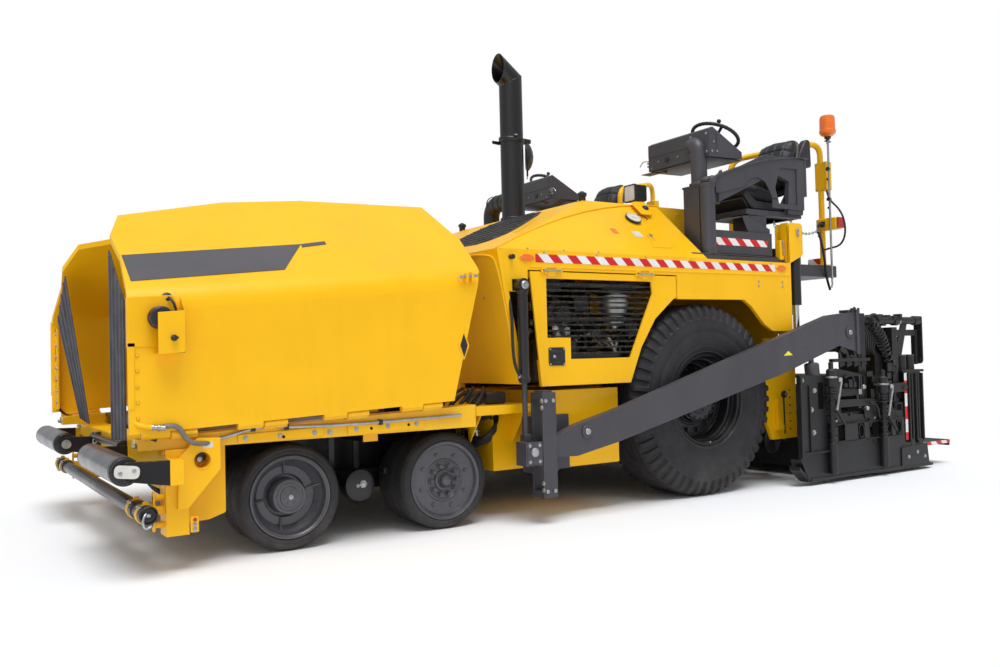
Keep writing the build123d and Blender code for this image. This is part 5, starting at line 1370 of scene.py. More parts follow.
class PAVER_OT_engine_details(PaverOperator):
    """Makes the filter, pipes, hoses and boxes seen through the grilles"""
    bl_idname = "paver.engine_details"
    bl_label = "Engine details"

    def make(self, sizes):
        shape = Shape()
        dice = np.random.default_rng(11)
        for _, s in SIDES:
            stack = [(0, 1182), (26, 1182), (30, 1198), (58, 1204), (74, 1216), (76, 1262),
                (70, 1270), (88, 1276), (90, 1312), (82, 1320), (96, 1326), (98, 1372), (88, 1384),
                (104, 1390), (104, 1404), (60, 1412), (56, 1432), (0, 1434)]
            turned(shape, at(690, s * 1200, 0), (0, 0, 1), mm(stack), 1, 32)
            block(shape, at(560, s * 1120, 1432), at(860, s * 1290, 1466), 0.006, 2)
            block(shape, at(980, s * 960, 840), at(1330, s * 1180, 1120), 0.02, 0)
            block(shape, at(360, s * 800, 830), at(900, s * 1080, 1050), 0.03, 2)
            for k in range(5):
                x = 430 + 95 * k
                block(shape, at(x, s * 1080, 850), at(x + 60, s * 1100, 1030), 0.006, 0)
            turned(shape, at(1130, s * 1140, 1270), (0, s, 0), mm([(0, 0), (92, 0), (100, 8),
                (100, 26), (84, 30), (60, 34), (40, 60), (24, 64), (0, 66)]), 0, 36)
            loop_turned(shape, at(1130, s * 1206, 1270), (0, s, 0),
                mm([(70, 0), (78, 3), (78, 15), (70, 18)]), 3, 36)
            bolts(shape, ring_line(at(1130, s * 1174, 1270), (0, s, 0), 0.052, 6), (0, s, 0),
                0.008, 0.008, 1)
            low = np.array([430, 900, 880])
            span = np.array([900, 360, 620])
            for n in range(16):
                p = low + span * dice.random((5, 3))
                p[:, 0] = np.sort(p[:, 0])[::1 if n % 2 else -1]
                run = mirrored(at(*p.T), s)
                tube(shape, bent(run, 7), 0.008 + 0.010 * dice.random(), (3, 3, 1, 4)[n % 4], 10)
                if n % 2:
                    turned(shape, run[-1], unit(run[-1] - run[-2]),
                        mm([(0, -20), (18, -20), (20, -8), (16, 0), (16, 16), (22, 20), (22, 32),
                        (0, 34)]), 1, 10)
            for n in range(14):
                c = low + span * dice.random(3)
                size = 20 + 45 * dice.random(3)
                a, b = at(*(c - size)), at(*(c + size))
                block(shape, mirrored(a, s), mirrored(b, s), 0.005, (0, 2, 0, 1)[n % 4])
            for z in (1000, 1240, 1460):
                block(shape, at(420, s * 1296, z - 16), at(1400, s * 1304, z + 16), 0.003, 2)
        for n in range(6):
            x = 330 + 170 * n
            turned(shape, at(x, 0, 1480), (0, 0, 1), mm([(0, 0), (58, 0), (58, 40), (46, 52),
                (30, 56), (30, 90), (0, 92)]), 0, 24)
            tube(shape, bent([at(x, 40, 1540), at(x, 200, 1600), at(x + 30, 330, 1560),
                at(x + 20, 400, 1440)], 8), 0.028, 2, 14)
        piece("engine_details", "machine", shape, ["engine", "zinc", "black", "hose", "steel"])


class PAVER_OT_hood_fittings(PaverOperator):
    """Makes the hood's vent, lamps, alarm, labels, hatch panels, latches and mirror"""
    bl_idname = "paver.hood_fittings"
    bl_label = "Hood fittings"

    def make(self, sizes):
        shape = Shape()
        leaf = [(1226, -20), (1060, -120), (892, -170), (770, -160), (706, -90), (690, 60),
            (700, 240), (742, 470), (860, 590), (1000, 690), (1160, 800), (1320, 880), (1440, 850),
            (1486, 740), (1452, 470), (1360, 180)]
        plate_slope(shape, leaf, 5, 0, 30, 0)
        inner = shrunk(np.array(leaf, float), 14)
        plate_slope(shape, inner, 7, 1, 30, 1)
        after = np.roll(inner, -1, 0)
        for x in range(1400, 720, -82):
            near = (inner[:, 0] > x) != (after[:, 0] > x)
            part = (x - inner[near, 0]) / (after[near, 0] - inner[near, 0])
            ends = inner[near, 1] + part * (after[near, 1] - inner[near, 1])
            reach = np.array([ends.min() + 26, ends.max() - 26])
            p = at(x, reach, 1665 + (1730 - x) * 0.4159) + [0.004, 0, 0.009]
            tube(shape, p, 0.004, 0, 8)
        for y in (-1, 1):
            plate_slope(shape, [(1360, 1000 * y), (1330, 1040 * y), (985, 760 * y),
                (1010, 720 * y)], 2.5, 2, 20)
        for s in (1, -1):
            edge = [at(1728, s * 1366, 1668), at(664, s * 862, 2113), at(-40, s * 862, 2113)]
            tube(shape, bent(edge, 8)[:9], 0.006, 2, 8)
            bolts(shape, flank(np.array([1500, 1220, 940]), 1672, s), (0, s * 0.445, 0.51), 0.006,
                0.004, 3)
            turned(shape, at(652, s * 842, 2108), (0, 0, 1), mm([(0, 0), (26, 0), (26, 30),
                (34, 34), (34, 52), (28, 58), (0, 60)]), 0, 20)
            block(shape, at(636, s * 832, 2160), at(668, s * 852, 2176), 0.004, 0)
            plate_flank(shape, [(60, 1888), (286, 1888), (404, 1735), (230, 1735), (150, 1770)],
                1.6, s, 2, 20)
            plate_flank(shape, oblong(300, 1790, 352, 1836), 5, s, 2, 6)
            turned(shape, flank(326, 1826, s, 6), (0, s * 0.445, 0.51),
                mm([(0, 0), (13, 0), (14, 8), (0, 10)]), 3, 12)
            block(shape, *[mirrored(q, s) for q in (at(316, 1196, 1786), at(338, 1216, 1812))],
                0.003, 3)
            plate_flank(shape, oblong(395, 1816, 470, 1862), 1, s, 4, 2)
            plate_flank(shape, oblong(604, 1832, 650, 1874), 1, s, 5, 2)
            # bracket with a work lamp, and the round alarm under it
            plate_flank(shape, [(246, 1992), (246, 2095), (180, 2110), (96, 2110), (96, 2040),
                (150, 1992)], 4, s, 2, 14, 26)
            for x in (110, 236):
                block(shape, flank(x, 2080, s, 0), flank(x + 6, 2052, s, 32), 0.001, 2)
            turned(shape, flank(346, 1964, s, 2), (0, s * 0.445, 0.51),
                mm([(0, 0), (48, 0), (56, 6), (58, 14), (54, 24), (46, 26), (42, 20), (20, 22),
                (18, 30), (10, 34), (0, 35)]), 4, 36)
            loop_turned(shape, flank(346, 1964, s, 2), (0, s * 0.445, 0.51),
                mm([(56, 4), (62, 6), (62, 18), (56, 20)]), 0, 36)
            turned(shape, flank(150, 2050, s, 30), (0, s * 0.445, 0.51),
                mm([(0, 0), (22, 0), (26, 6), (20, 12), (10, 14), (0, 26)]), 0, 20)
            tube(shape, bent([flank(300, 1995, s, 8), flank(250, 1990, s, 40),
                flank(215, 1960, s, 14)], 8), 0.004, 0, 8)
            tube(shape, [at(110, s * 800, 2108), at(110, s * 800, 2150)], 0.010, 0, 10)
            lamp = [(0, -62), (60, -62), (66, -50), (66, 40), (70, 44), (70, 58), (62, 62),
                (58, 56), (0, 52)]
            box = eased(oblong(-0.062, -0.062, 0.062, 0.062), 0.014, 4)
            rows = np.stack([at(110, s * 800, 2205) + np.stack([np.full(len(box), d * MM),
                box[:, 0] * r / 66, box[:, 1] * r / 66], -1) for r, d in lamp[1:-1]])
            shape.add(rows, rings(rows), 0)
            glass = [np.stack([np.full(len(box), 0.0), box[:, 0] * k, box[:, 1] * k], -1)
                + at(110 + d, s * 800, 2205) for k, d in ((0.9, 54), (0.9, 58), (0.5, 61))]
            shape.add(np.stack(glass), rings(np.stack(glass)), 6)
            for x in (-30, -240, -470):
                bolts(shape, [at(x, s * 866, 2060)], (0, s, 0), 0.007, 0.005, 2)
        # exhaust pipe: its mitre falls one half per unit forwards, and its mouth is cut upright
        turn = np.arange(48) * TAU / 48
        bow, side = np.cos(turn), np.sin(turn)

        def pipe_ring(r, z, mitred=False, mouth=False):
            """One ring of the exhaust: level at z, on the mitre, or on the upright mouth."""
            x, y = r * bow, r * side
            z = np.full(48, z, float)
            if mitred or mouth:
                z = 3281 - 0.5 * x
            if mouth:
                z = z + 0.76 * (120 - x)
                x = np.full(48, 120.0)
            return at(510 + x, -250 + y, z)

        pipe = np.stack([pipe_ring(95, 2105), pipe_ring(95, 2760), pipe_ring(95, 0, True),
            pipe_ring(95, 0, False, True), pipe_ring(90, 0, False, True), pipe_ring(90, 0, True),
            pipe_ring(90, 2900)])
        shape.add(pipe, rings(pipe), 7)
        tube(shape, np.roll(pipe[2], 1, 0), 0.002, 7, 6, closed=True)
        # convex mirror hung from the clamp
        axis = unit([-0.84, 0.54, 0])
        centre = at(352, -262, 2668)
        turned(shape, centre, axis, mm([(0, -16), (100, -14), (116, -6), (118, 2), (108, 16),
            (84, 34), (46, 48), (0, 54)]), 0, 40)
        tube(shape, bent([at(420, -262, 2790), at(366, -262, 2800), at(352, -262, 2790),
            at(352, -262, 2772)], 8), 0.011, 0, 10)
        tube(shape, [at(352, -262, 2560), at(352, -262, 2508)], 0.008, 7, 8)
        tube(shape, [at(352, -262, 2512), at(356, -262, 2482)], 0.005, 3, 8)
        clamp = [(94, -14), (106, -14), (108, -8), (108, 10), (104, 16), (94, 16)]
        loop_turned(shape, at(510, -250, 2130), (0, 0, 1), mm(clamp), 0, 48)
        loop_turned(shape, at(510, -250, 2790), (-0.05, 0.1, 1), mm(clamp), 7, 48)
        plate_z(shape, [(640, -355), (560, -345), (520, -352), (560, -380)], 2770, 26, 7, 10, 5)
        plate_z(shape, [(424, -290), (330, -290), (330, -225), (424, -212)], 2776, 34, 7, 10, 4)
        bolts(shape, [at(540, -146, 2806)], (0, 0, 1), 0.013, 0.010, 3)
        for k in range(3):
            loop_turned(shape, at(400, -560 - 80 * k, 2330), (0, 1, 0),
                mm([(69, -6), (75, -5), (75, 5), (69, 6)]), 0, 40)
        bolts(shape, at([-20, 60, 340], [0, 330, -330], 2122), (0, 0, 1), 0.008, 0.006, 3)
        tube(shape, bent([at(330, -60, 2124), at(330, -60, 2160), at(330, 60, 2160),
            at(330, 60, 2124)], 8), 0.007, 0, 10)
        piece("hood_fittings", "machine", shape, ["plastic", "mesh", "yellow", "zinc", "label",
            "amber", "clear", "black"], ("exhaust_stack",))


# ---------------------------------------------------------------- stations

COVER_VOXEL = 0.0065     # cell of a cover's mesh before it is filled, in metres
FILL_PRESSURE = 4.0      # outward pressure inside a cover
FILL_FRAMES = 20         # frames that the cloth solver runs
EVENING_ROUNDS = 16      # times that each point's move is averaged with its neighbours'
SEAM_DEPTH, SEAM_WIDTH = 0.011, 0.005


def pillow(wide, deep, thick, crown, roundness=0.4, count=40):
    """A crowned closed form: a square whose corners are drawn in by the root of one minus half
    the other side's square, whose half thickness falls off as the root of one minus the edge's
    power of 8, with the top raised by a cosine crown and the sides pulled in between corners."""
    u = np.linspace(-1, 1, count)
    a, b = np.meshgrid(u, u, indexing="ij")
    x = wide / 2 * a * np.sqrt(1 - roundness * b ** 2 / 2) * (1 - 0.03 * np.cos(b * math.pi / 2))
    y = deep / 2 * b * np.sqrt(1 - roundness * a ** 2 / 2) * (1 - 0.03 * np.cos(a * math.pi / 2))
    edge = np.maximum(np.abs(a), np.abs(b))
    half = thick / 2 * np.clip(1 - edge ** 8, 0, 1) ** 0.5
    rise = crown * np.cos(a * math.pi / 2) * np.cos(b * math.pi / 2)
    top = np.stack([x, y, half + rise], -1)
    low = np.stack([x, y, -half], -1)
    return Shape().add(top, [quads(count, count)]).add(low, [quads(count, count)[:, ::-1]])


def seams(p, across, up):
    """How far the sewn lines draw a cover in: cross lines and two long lines, each a Gaussian
    trench."""
    draw = np.zeros(len(p))
    for line in across:
        draw += np.exp(-((p[:, 0] - line) / SEAM_WIDTH) ** 2)
    for line in up:
        draw += np.exp(-((p[:, 1] - line) / SEAM_WIDTH) ** 2)
    return np.clip(draw, 0, 1)


def upholstered(name, body, shape, finish, place, across, up, node, cap):
    """A cover filled under pressure: remeshed, blown up by the cloth solver for twenty frames,
    held to within cap of its start, its creases evened out between neighbours, sewn down along
    its lines, and turned into its place."""
    obj = piece(name, body, shape, [finish], (node,), 60)
    scene = bpy.context.scene
    bpy.context.view_layer.objects.active = obj
    remesh = obj.modifiers.new("even cover", "REMESH")
    remesh.mode, remesh.voxel_size = "VOXEL", COVER_VOXEL
    bpy.ops.object.select_all(action="DESELECT")
    obj.select_set(True)
    bpy.ops.object.modifier_apply(modifier=remesh.name)
    mesh = obj.data
    start = np.empty(len(mesh.vertices) * 3)
    mesh.vertices.foreach_get("co", start)
    cloth = obj.modifiers.new("filling", "CLOTH")
    cloth.settings.quality = 4
    cloth.settings.use_pressure = True
    cloth.settings.uniform_pressure_force = FILL_PRESSURE
    cloth.settings.effector_weights.gravity = 0.0
    cloth.collision_settings.use_collision = False
    cloth.point_cache.frame_start, cloth.point_cache.frame_end = 1, FILL_FRAMES
    for number in range(1, FILL_FRAMES + 1):
        scene.frame_set(number)
    bpy.ops.object.modifier_apply(modifier=cloth.name)
    scene.frame_set(1)
    mesh = obj.data
    p = np.empty(len(mesh.vertices) * 3)
    mesh.vertices.foreach_get("co", p)
    p, start = p.reshape(-1, 3), start.reshape(-1, 3)
    moved = p - start
    far = np.linalg.norm(moved, axis=1, keepdims=True)
    moved *= np.minimum(1, cap / np.maximum(far, 1e-9))
    ends = np.empty(len(mesh.edges) * 2, np.int32)
    mesh.edges.foreach_get("vertices", ends)
    near = np.vstack([ends.reshape(-1, 2), ends.reshape(-1, 2)[:, ::-1]])
    count = np.bincount(near[:, 0], minlength=len(p))[:, None]
    for _ in range(EVENING_ROUNDS):
        moved = np.stack([np.bincount(near[:, 0], moved[near[:, 1], k], len(p)) for k in range(3)],
            -1) / count
    p = start + moved
    above = np.clip(p[:, 2] / 0.02, 0, 1)
    p[:, 2] -= SEAM_DEPTH * above * seams(p, across, up)
    turn, move = place
    p = p @ np.array(turn).T + move
    mesh.vertices.foreach_set("co", p.ravel())
    mesh.polygons.foreach_set("use_smooth", np.ones(len(mesh.polygons), bool))
    mesh.update()
    finer = obj.modifiers.new("finer", "SUBSURF")
    finer.levels = finer.render_levels = 1
    return obj


class PAVER_OT_seats(PaverOperator):
    """Makes the seats' cushions and backs: filled covers with sewn channels, on plastic pans"""
    bl_idname = "paver.seats"
    bl_label = "Seats"

    def make(self, sizes):
        for side, s in SIDES:
            node, body = f"seat_cushion_{side}", f"station_{side}"
            tilt, lean = math.radians(8), math.radians(22)
            flat = np.array([[math.cos(tilt), 0, -math.sin(tilt)], [0, 1, 0],
                [math.sin(tilt), 0, math.cos(tilt)]])
            rear = np.array([[-math.sin(lean), 0, math.cos(lean)], [0, -1, 0],
                [math.cos(lean), 0, math.sin(lean)]])
            upholstered(f"seat_cushion_cover_{side}", body, pillow(0.440, 0.400, 0.095, 0.020,
                0.35), "vinyl", (flat, at(-800, s * 1050, 2196)), (-0.12, -0.03, 0.07),
                (-0.13, 0.13), node, sizes.swell)
            upholstered(f"seat_back_cover_{side}", body, pillow(0.470, 0.410, 0.085, 0.026, 0.62),
                "vinyl", (rear, at(-1145, s * 1050, 2476)), (0.09,), (-0.12, -0.04, 0.04, 0.12),
                node, sizes.swell)
            shape = Shape()
            pan = [(-1040, 2078), (-650, 2078), (-560, 2180), (-566, 2212), (-620, 2190),
                (-700, 2140), (-980, 2130), (-1050, 2230), (-1080, 2220)]
            for y in (842, 1230):
                plate_y(shape, pan, y - 6, 34, s, 0, 20, 8)
            plate_y(shape, [(-1040, 2074), (-645, 2074), (-575, 2160), (-600, 2172), (-690, 2136),
                (-1040, 2132)], 872, 356, s, 0, 20, 8)
            shell = eased([(-0.17, -0.25), (0.17, -0.25), (0.196, -0.04), (0.15, 0.26),
                (-0.15, 0.26), (-0.196, -0.04)], 0.11, 9)
            prism(shape, shell, at(-1206, s * 1050, 2446), (0, 1, 0), rear[:, 0], 0.030, 0.010)
            plate_y(shape, [(-1226, 2500), (-1325, 2660), (-1352, 2690), (-1392, 2690),
                (-1404, 2672), (-1410, 2470), (-1240, 2440)], 1150, 60, s, 0, 16, 10)
            hose(shape, [(-1220, 1150, 2300), (-1330, 1180, 2320), (-1345, 1180, 2470)], s, 7,
                0.018, 0, 12)
            for y in (826, 1246):
                path = bent([at(-1120, s * (y + 14), 2380), at(-1040, s * (y + 14), 2400),
                    at(-880, s * (y + 14), 2394), at(-820, s * (y + 14), 2380)], 7)
                sweep(shape, path, eased(oblong(-0.022, -0.017, 0.022, 0.017), 0.014, 5), 1)
            plate_y(shape, [(-1150, 2030), (-800, 2030), (-830, 2074), (-1120, 2074)], 900, 300, s,
                2, 6)
            for z in (2034, 2050, 2066):
                hose(shape, [(-1160, 900, z), (-790, 900, z), (-790, 1210, z), (-1160, 1210, z)],
                    s, 8, 0.009, 0, 8)
            hose(shape, [(-800, 900, 2060), (-735, 930, 2050), (-735, 1170, 2050),
                (-800, 1200, 2060)], s, 8, 0.007, 3, 10)
            piece(f"seat_frame_{side}", body, shape, ["plastic", "vinyl", "trim", "zinc"], (node,))


class PAVER_OT_steering_wheels(PaverOperator):
    """Makes the steering wheels: a ribbed rim, three dished spokes, a hub cap and a knob"""
    bl_idname = "paver.steering_wheels"
    bl_label = "Steering wheels"

    def make(self, sizes):
        for side, s in SIDES:
            centre = at(-460, s * 1080, 2640)
            tilt = math.radians(25)
            up = np.array([-math.sin(tilt), 0, math.cos(tilt)])
            shape = Shape()
            rim = ring_line(centre, up, 0.176, 72)
            tube(shape, rim, 0.0135 + 0.0008 * np.cos(np.arange(72) * math.pi), 0, 16, closed=True)
            a, b, c = axes_along(up)
            for k in range(3):
                t = TAU * k / 3 + 0.5
                out = a * math.cos(t) + b * math.sin(t)
                path = bent([centre + out * 0.02 - c * 0.012, centre + out * 0.09 - c * 0.022,
                    centre + out * 0.17 - c * 0.002], 7)
                sweep(shape, path, eased(oblong(-0.012, -0.004, 0.012, 0.004), 0.003), 0)
            turned(shape, centre, up, mm([(0, -50), (22, -50), (24, -30), (38, -22), (42, -8),
                (40, 4), (30, 9), (12, 11), (0, 11)]), 0, 28)
            grip = centre + (a * math.cos(2.4) + b * math.sin(2.4)) * 0.168 + c * 0.010
            turned(shape, grip, up, mm([(0, 0), (7, 0), (7, 12), (15, 18), (17, 28), (12, 36),
                (0, 39)]), 0, 18)
            piece(f"steering_wheel_rim_{side}", f"steering_wheel_{side}", shape, ["plastic"],
                (f"steering_wheel_{side}",))


class PAVER_OT_station_fittings(PaverOperator):
    """Makes the stations' tubes, locks, side frames, console faces, stripes, pedals and levers"""
    bl_idname = "paver.station_fittings"
    bl_label = "Station fittings"

    def make(self, sizes):
        for side, s in SIDES:
            shape = Shape()
            turned(shape, at(-145, s * 1285, 0), (0, 0, 1), mm([(40, 1712), (53, 1712), (55, 1724),
                (55, 1760), (53.5, 1764), (53.5, 2196), (58, 2200), (58, 2222), (40, 2226)]), 0,
                40)
            turned(shape, at(-145, s * 1285, 0), (0, 0, 1), mm([(0, 2226), (38, 2226), (46, 2234),
                (46, 2250), (36, 2262), (22, 2272), (0, 2276)]), 0, 28)
            turned(shape, at(-145, s * 1328, 2240), (0.5, s, 0.2),
                mm([(0, -14), (14, -12), (24, -4), (29, 10), (30, 16), (26, 28), (16, 37),
                (0, 40)]), 0, 24)
            tube(shape, at([-155, -200], [s * 1340, s * 1360], [2246, 2294]), 0.008, 0, 10)
            turned(shape, at(-204, s * 1362, 2298), (-0.5, 0, 0.5),
                mm([(0, -13), (9, -11), (13, -3), (13, 4), (9, 12), (0, 14)]), 0, 14)
            # cap flange of the box column, and its weld
            plate_z(shape, oblong(-196, s * 1080, -94, s * 1252), 2205, 14, 0, 6, 2)
            tube(shape, at([-118, -118], [s * 1247, s * 1247], [1730, 2200]), 0.004, 0, 8)
            # elbow of the console's arm
            elbow = bent([at(-150, s * 1205, 2222), at(-150, s * 1205, 2420),
                at(-150, s * 1200, 2500), at(-168, s * 1150, 2532), at(-200, s * 1090, 2536)], 9)
            tube(shape, elbow, 0.059, 0, 28)
            turned(shape, at(-150, s * 1205, 0), (0, 0, 1), mm([(50, 2218), (72, 2218), (74, 2222),
                (74, 2232), (60, 2240), (50, 2240)]), 0, 36)
            plate_x(shape, np.array(upright(1290, 2444, 1110, 2604)) * [s, 1], -164, 6, 0, 14, 1.5)
            bolts(shape, at(-157, s * np.array([1278, 1278, 1122, 1122]),
                [2590, 2458, 2590, 2458]), (1, 0, 0), 0.008, 0.006, 2)
            # console faces
            plate_x(shape, np.array(upright(1298, 2614, 662, 2524)) * [s, 1], -160, 4, 0, 4, 1)
            turned(shape, at(-158, s * 864, 2478), (1, 0, 0), mm([(0, 0), (20, 0), (22, 3),
                (20, 9), (0, 10)]), 1, 24)
            bolts(shape, at(-159, s * np.array([773, 981, 700, 1240]), [2480, 2478, 2440, 2440]),
                (1, 0, 0), 0.006, 0.004, 2, False, 12)
            turned(shape, at(-205, s * 779, 0), (0, 0, -1), mm([(0, -2430), (26, -2430),
                (27, -2410), (27, -2398), (22, -2392), (0, -2392)]), 0, 20)
            plate_z(shape, [(-140, s * 590), (-235, s * 590), (-235, s * 720), (-140, s * 700)],
                2404, 4, 0, 6, 1)
            hose(shape, [(-165, 668, 2500), (-160, 610, 2512), (-160, 580, 2500),
                (-158, 562, 2474)], s, 7, 0.004, 2, 8)
            for z in (2466, 2490):
                turned(shape, at(-175, s * 658, z), (0, -s, 0),
                    mm([(0, 0), (8, 0), (8, 24), (5, 28), (0, 28)]), 2, 12)
            for x, z in ((-209, 2530), (-191, 2462), (-240, 2464)):
                bolts(shape, [at(x, s * 1300, z)], (0, s, 0), 0.008, 0.005, 2, False, 12)
            hose(shape, [(-240, 1302, 2450), (-240, 1302, 2600)], s, 2, 0.003, 0, 6)
            # buttons on the console's slanted top: distance from the middle, share of the way down
            up = unit([160, 0, 300])
            for n, (y, f) in enumerate([(720, .3), (760, .3), (800, .3), (840, .3), (720, .6),
                    (760, .6), (800, .6), (900, .75), (960, .75), (1240, .3), (1240, .6)]):
                x, z = -205 - 300 * f, 2644 - 160 * f
                turned(shape, at(x, s * y, z) - up * 0.004, (-0.47, 0, 0.88),
                    mm([(0, 0), (13, 0), (14, 4), (9, 7), (8, 26), (0, 28)]), (1, 4, 1, 5)[n % 4],
                    16)
            plate_y(shape, [(-498, 2424), (-168, 2416), (-168, 2410), (-498, 2416)], 668, 620, s,
                0, 1, 1)
            # side frame round the seat
            plate_y(shape, [(-190, 2262), (-196, 2150), (-330, 2180), (-492, 2226), (-560, 2290),
                (-638, 2304), (-720, 2278), (-778, 2193), (-800, 2150), (-860, 2150), (-830, 2240),
                (-890, 2400), (-1160, 2400), (-1160, 2482), (-718, 2482)], 1316, 8, s, 0, 12, 1.5)
            plate_y(shape, [(-800, 2160), (-860, 2160), (-870, 2120), (-1080, 2120), (-1080, 2400),
                (-1160, 2400), (-1160, 2085), (-790, 2085)], 1316, 8, s, 0, 12, 1.5)
            top = [at(-190, s * 1300, 2268), at(-716, s * 1300, 2488), at(-1215, s * 1300, 2496)]
            sweep(shape, bent(top, 9), eased(oblong(-0.034, -0.004, 0.034, 0.004), 0.002), 0)
            tube(shape, at([-1190, -1190], s * 1300, [2496, 2200]), 0.021, 0, 20)
            # foot beam, pedals and under plate
            plate_y(shape, [(-196, 1780), (-196, 1836), (-762, 1832), (-744, 1784)], 1300.3, 1.4,
                s, 3, 1, 0.4)
            plate_z(shape, [(66, s * 1180), (66, s * 1330), (-560, s * 1330), (-1060, s * 1300),
                (-1060, s * 1240), (-300, s * 1180)], 1704, 8, 0, 10, 2)
            plate_y(shape, [(-498, 2012), (-560, 2012), (-800, 1925), (-800, 1892), (-560, 1892)],
                1278, 8, s, 0, 8, 1.5)
            pedal = [at(-212, s * 1180, 1950), at(-560, s * 1180, 2022), at(-700, s * 1180, 2030)]
            sweep(shape, bent(pedal, 8), eased(oblong(-0.09, -0.006, 0.09, 0.006), 0.004), 0)
            tube(shape, at([-212, -212], [s * 1088, s * 1272], [1950, 1950]), 0.013, 0, 16)
            for y in (1130, 1215):
                turned(shape, at(-300, s * y, 1972), (-0.2, 0, 1),
                    mm([(0, 0), (26, 0), (30, 3), (30, 10), (24, 13), (0, 14)]), 1, 24)
            hose(shape, [(-212, 1100, 1948), (-260, 1100, 1900), (-290, 1100, 1892)], s, 7, 0.012,
                0, 10)
            piece(f"station_fittings_{side}", f"station_{side}", shape,
                ["grey", "plastic", "zinc", "hazard_x", "red_lens", "amber"])


class PAVER_OT_beacon(PaverOperator):
    """Makes the beacon: a ribbed orange dome on a socket, and its thin plated mast with clamps"""
    bl_idname = "paver.beacon"
    bl_label = "Beacon and mast"

    def make(self, sizes):
        shape = Shape()
        foot = at(-1700, 1150, 0)
        dome = [(0, 2758), (18, 2758), (48, 2770), (63, 2784), (66, 2800), (66, 2808), (62, 2816),
            (61.5, 2830), (60.5, 2910), (56, 2928), (44, 2936), (0, 2938)]
        turned(shape, foot, (0, 0, 1), mm(dome), 0, 72,
               lambda t, row: 1 + 0.012 * np.cos(36 * t) * ((row > 4) & (row < 8)))
        turned(shape, foot, (0, 0, 1), mm([(0, 2728), (15, 2728), (15, 2740), (26, 2746),
            (28, 2756), (22, 2766), (0, 2766)]), 1, 28)
        turned(shape, foot, (0, 0, 1), mm([(0, 1584), (9, 1584), (9, 2200), (9.6, 2204),
            (9.6, 2212), (9, 2216), (9, 2700), (12, 2704), (12, 2730), (0, 2732)]), 2, 14)
        tube(shape, at([-1736, -1662], 1150, 2722), 0.006, 1, 10)
        tube(shape, bent([at(-1700, 1150, 1600), at(-1700, 1146, 1570), at(-1704, 1150, 1540),
            at(-1700, 1140, 1510)], 7), 0.007, 2, 10)
        for z in (2240, 2490):
            loop_turned(shape, at(-1700, 1150, z), (0, 0, 1), mm(oblong(9, -9, 17, 9)), 2, 20)
            tube(shape, at(-1700, [1160, 1120], z), 0.005, 2, 8)
            turned(shape, at(-1684, 1158, z), (1, 0.4, 0), mm([(0, 0), (6, 0), (6, 10), (16, 12),
                (18, 18), (14, 26), (0, 28)]), 1, 14)
        piece("beacon", "machine", shape, ["amber", "plastic", "zinc"], ("beacon_mast",))


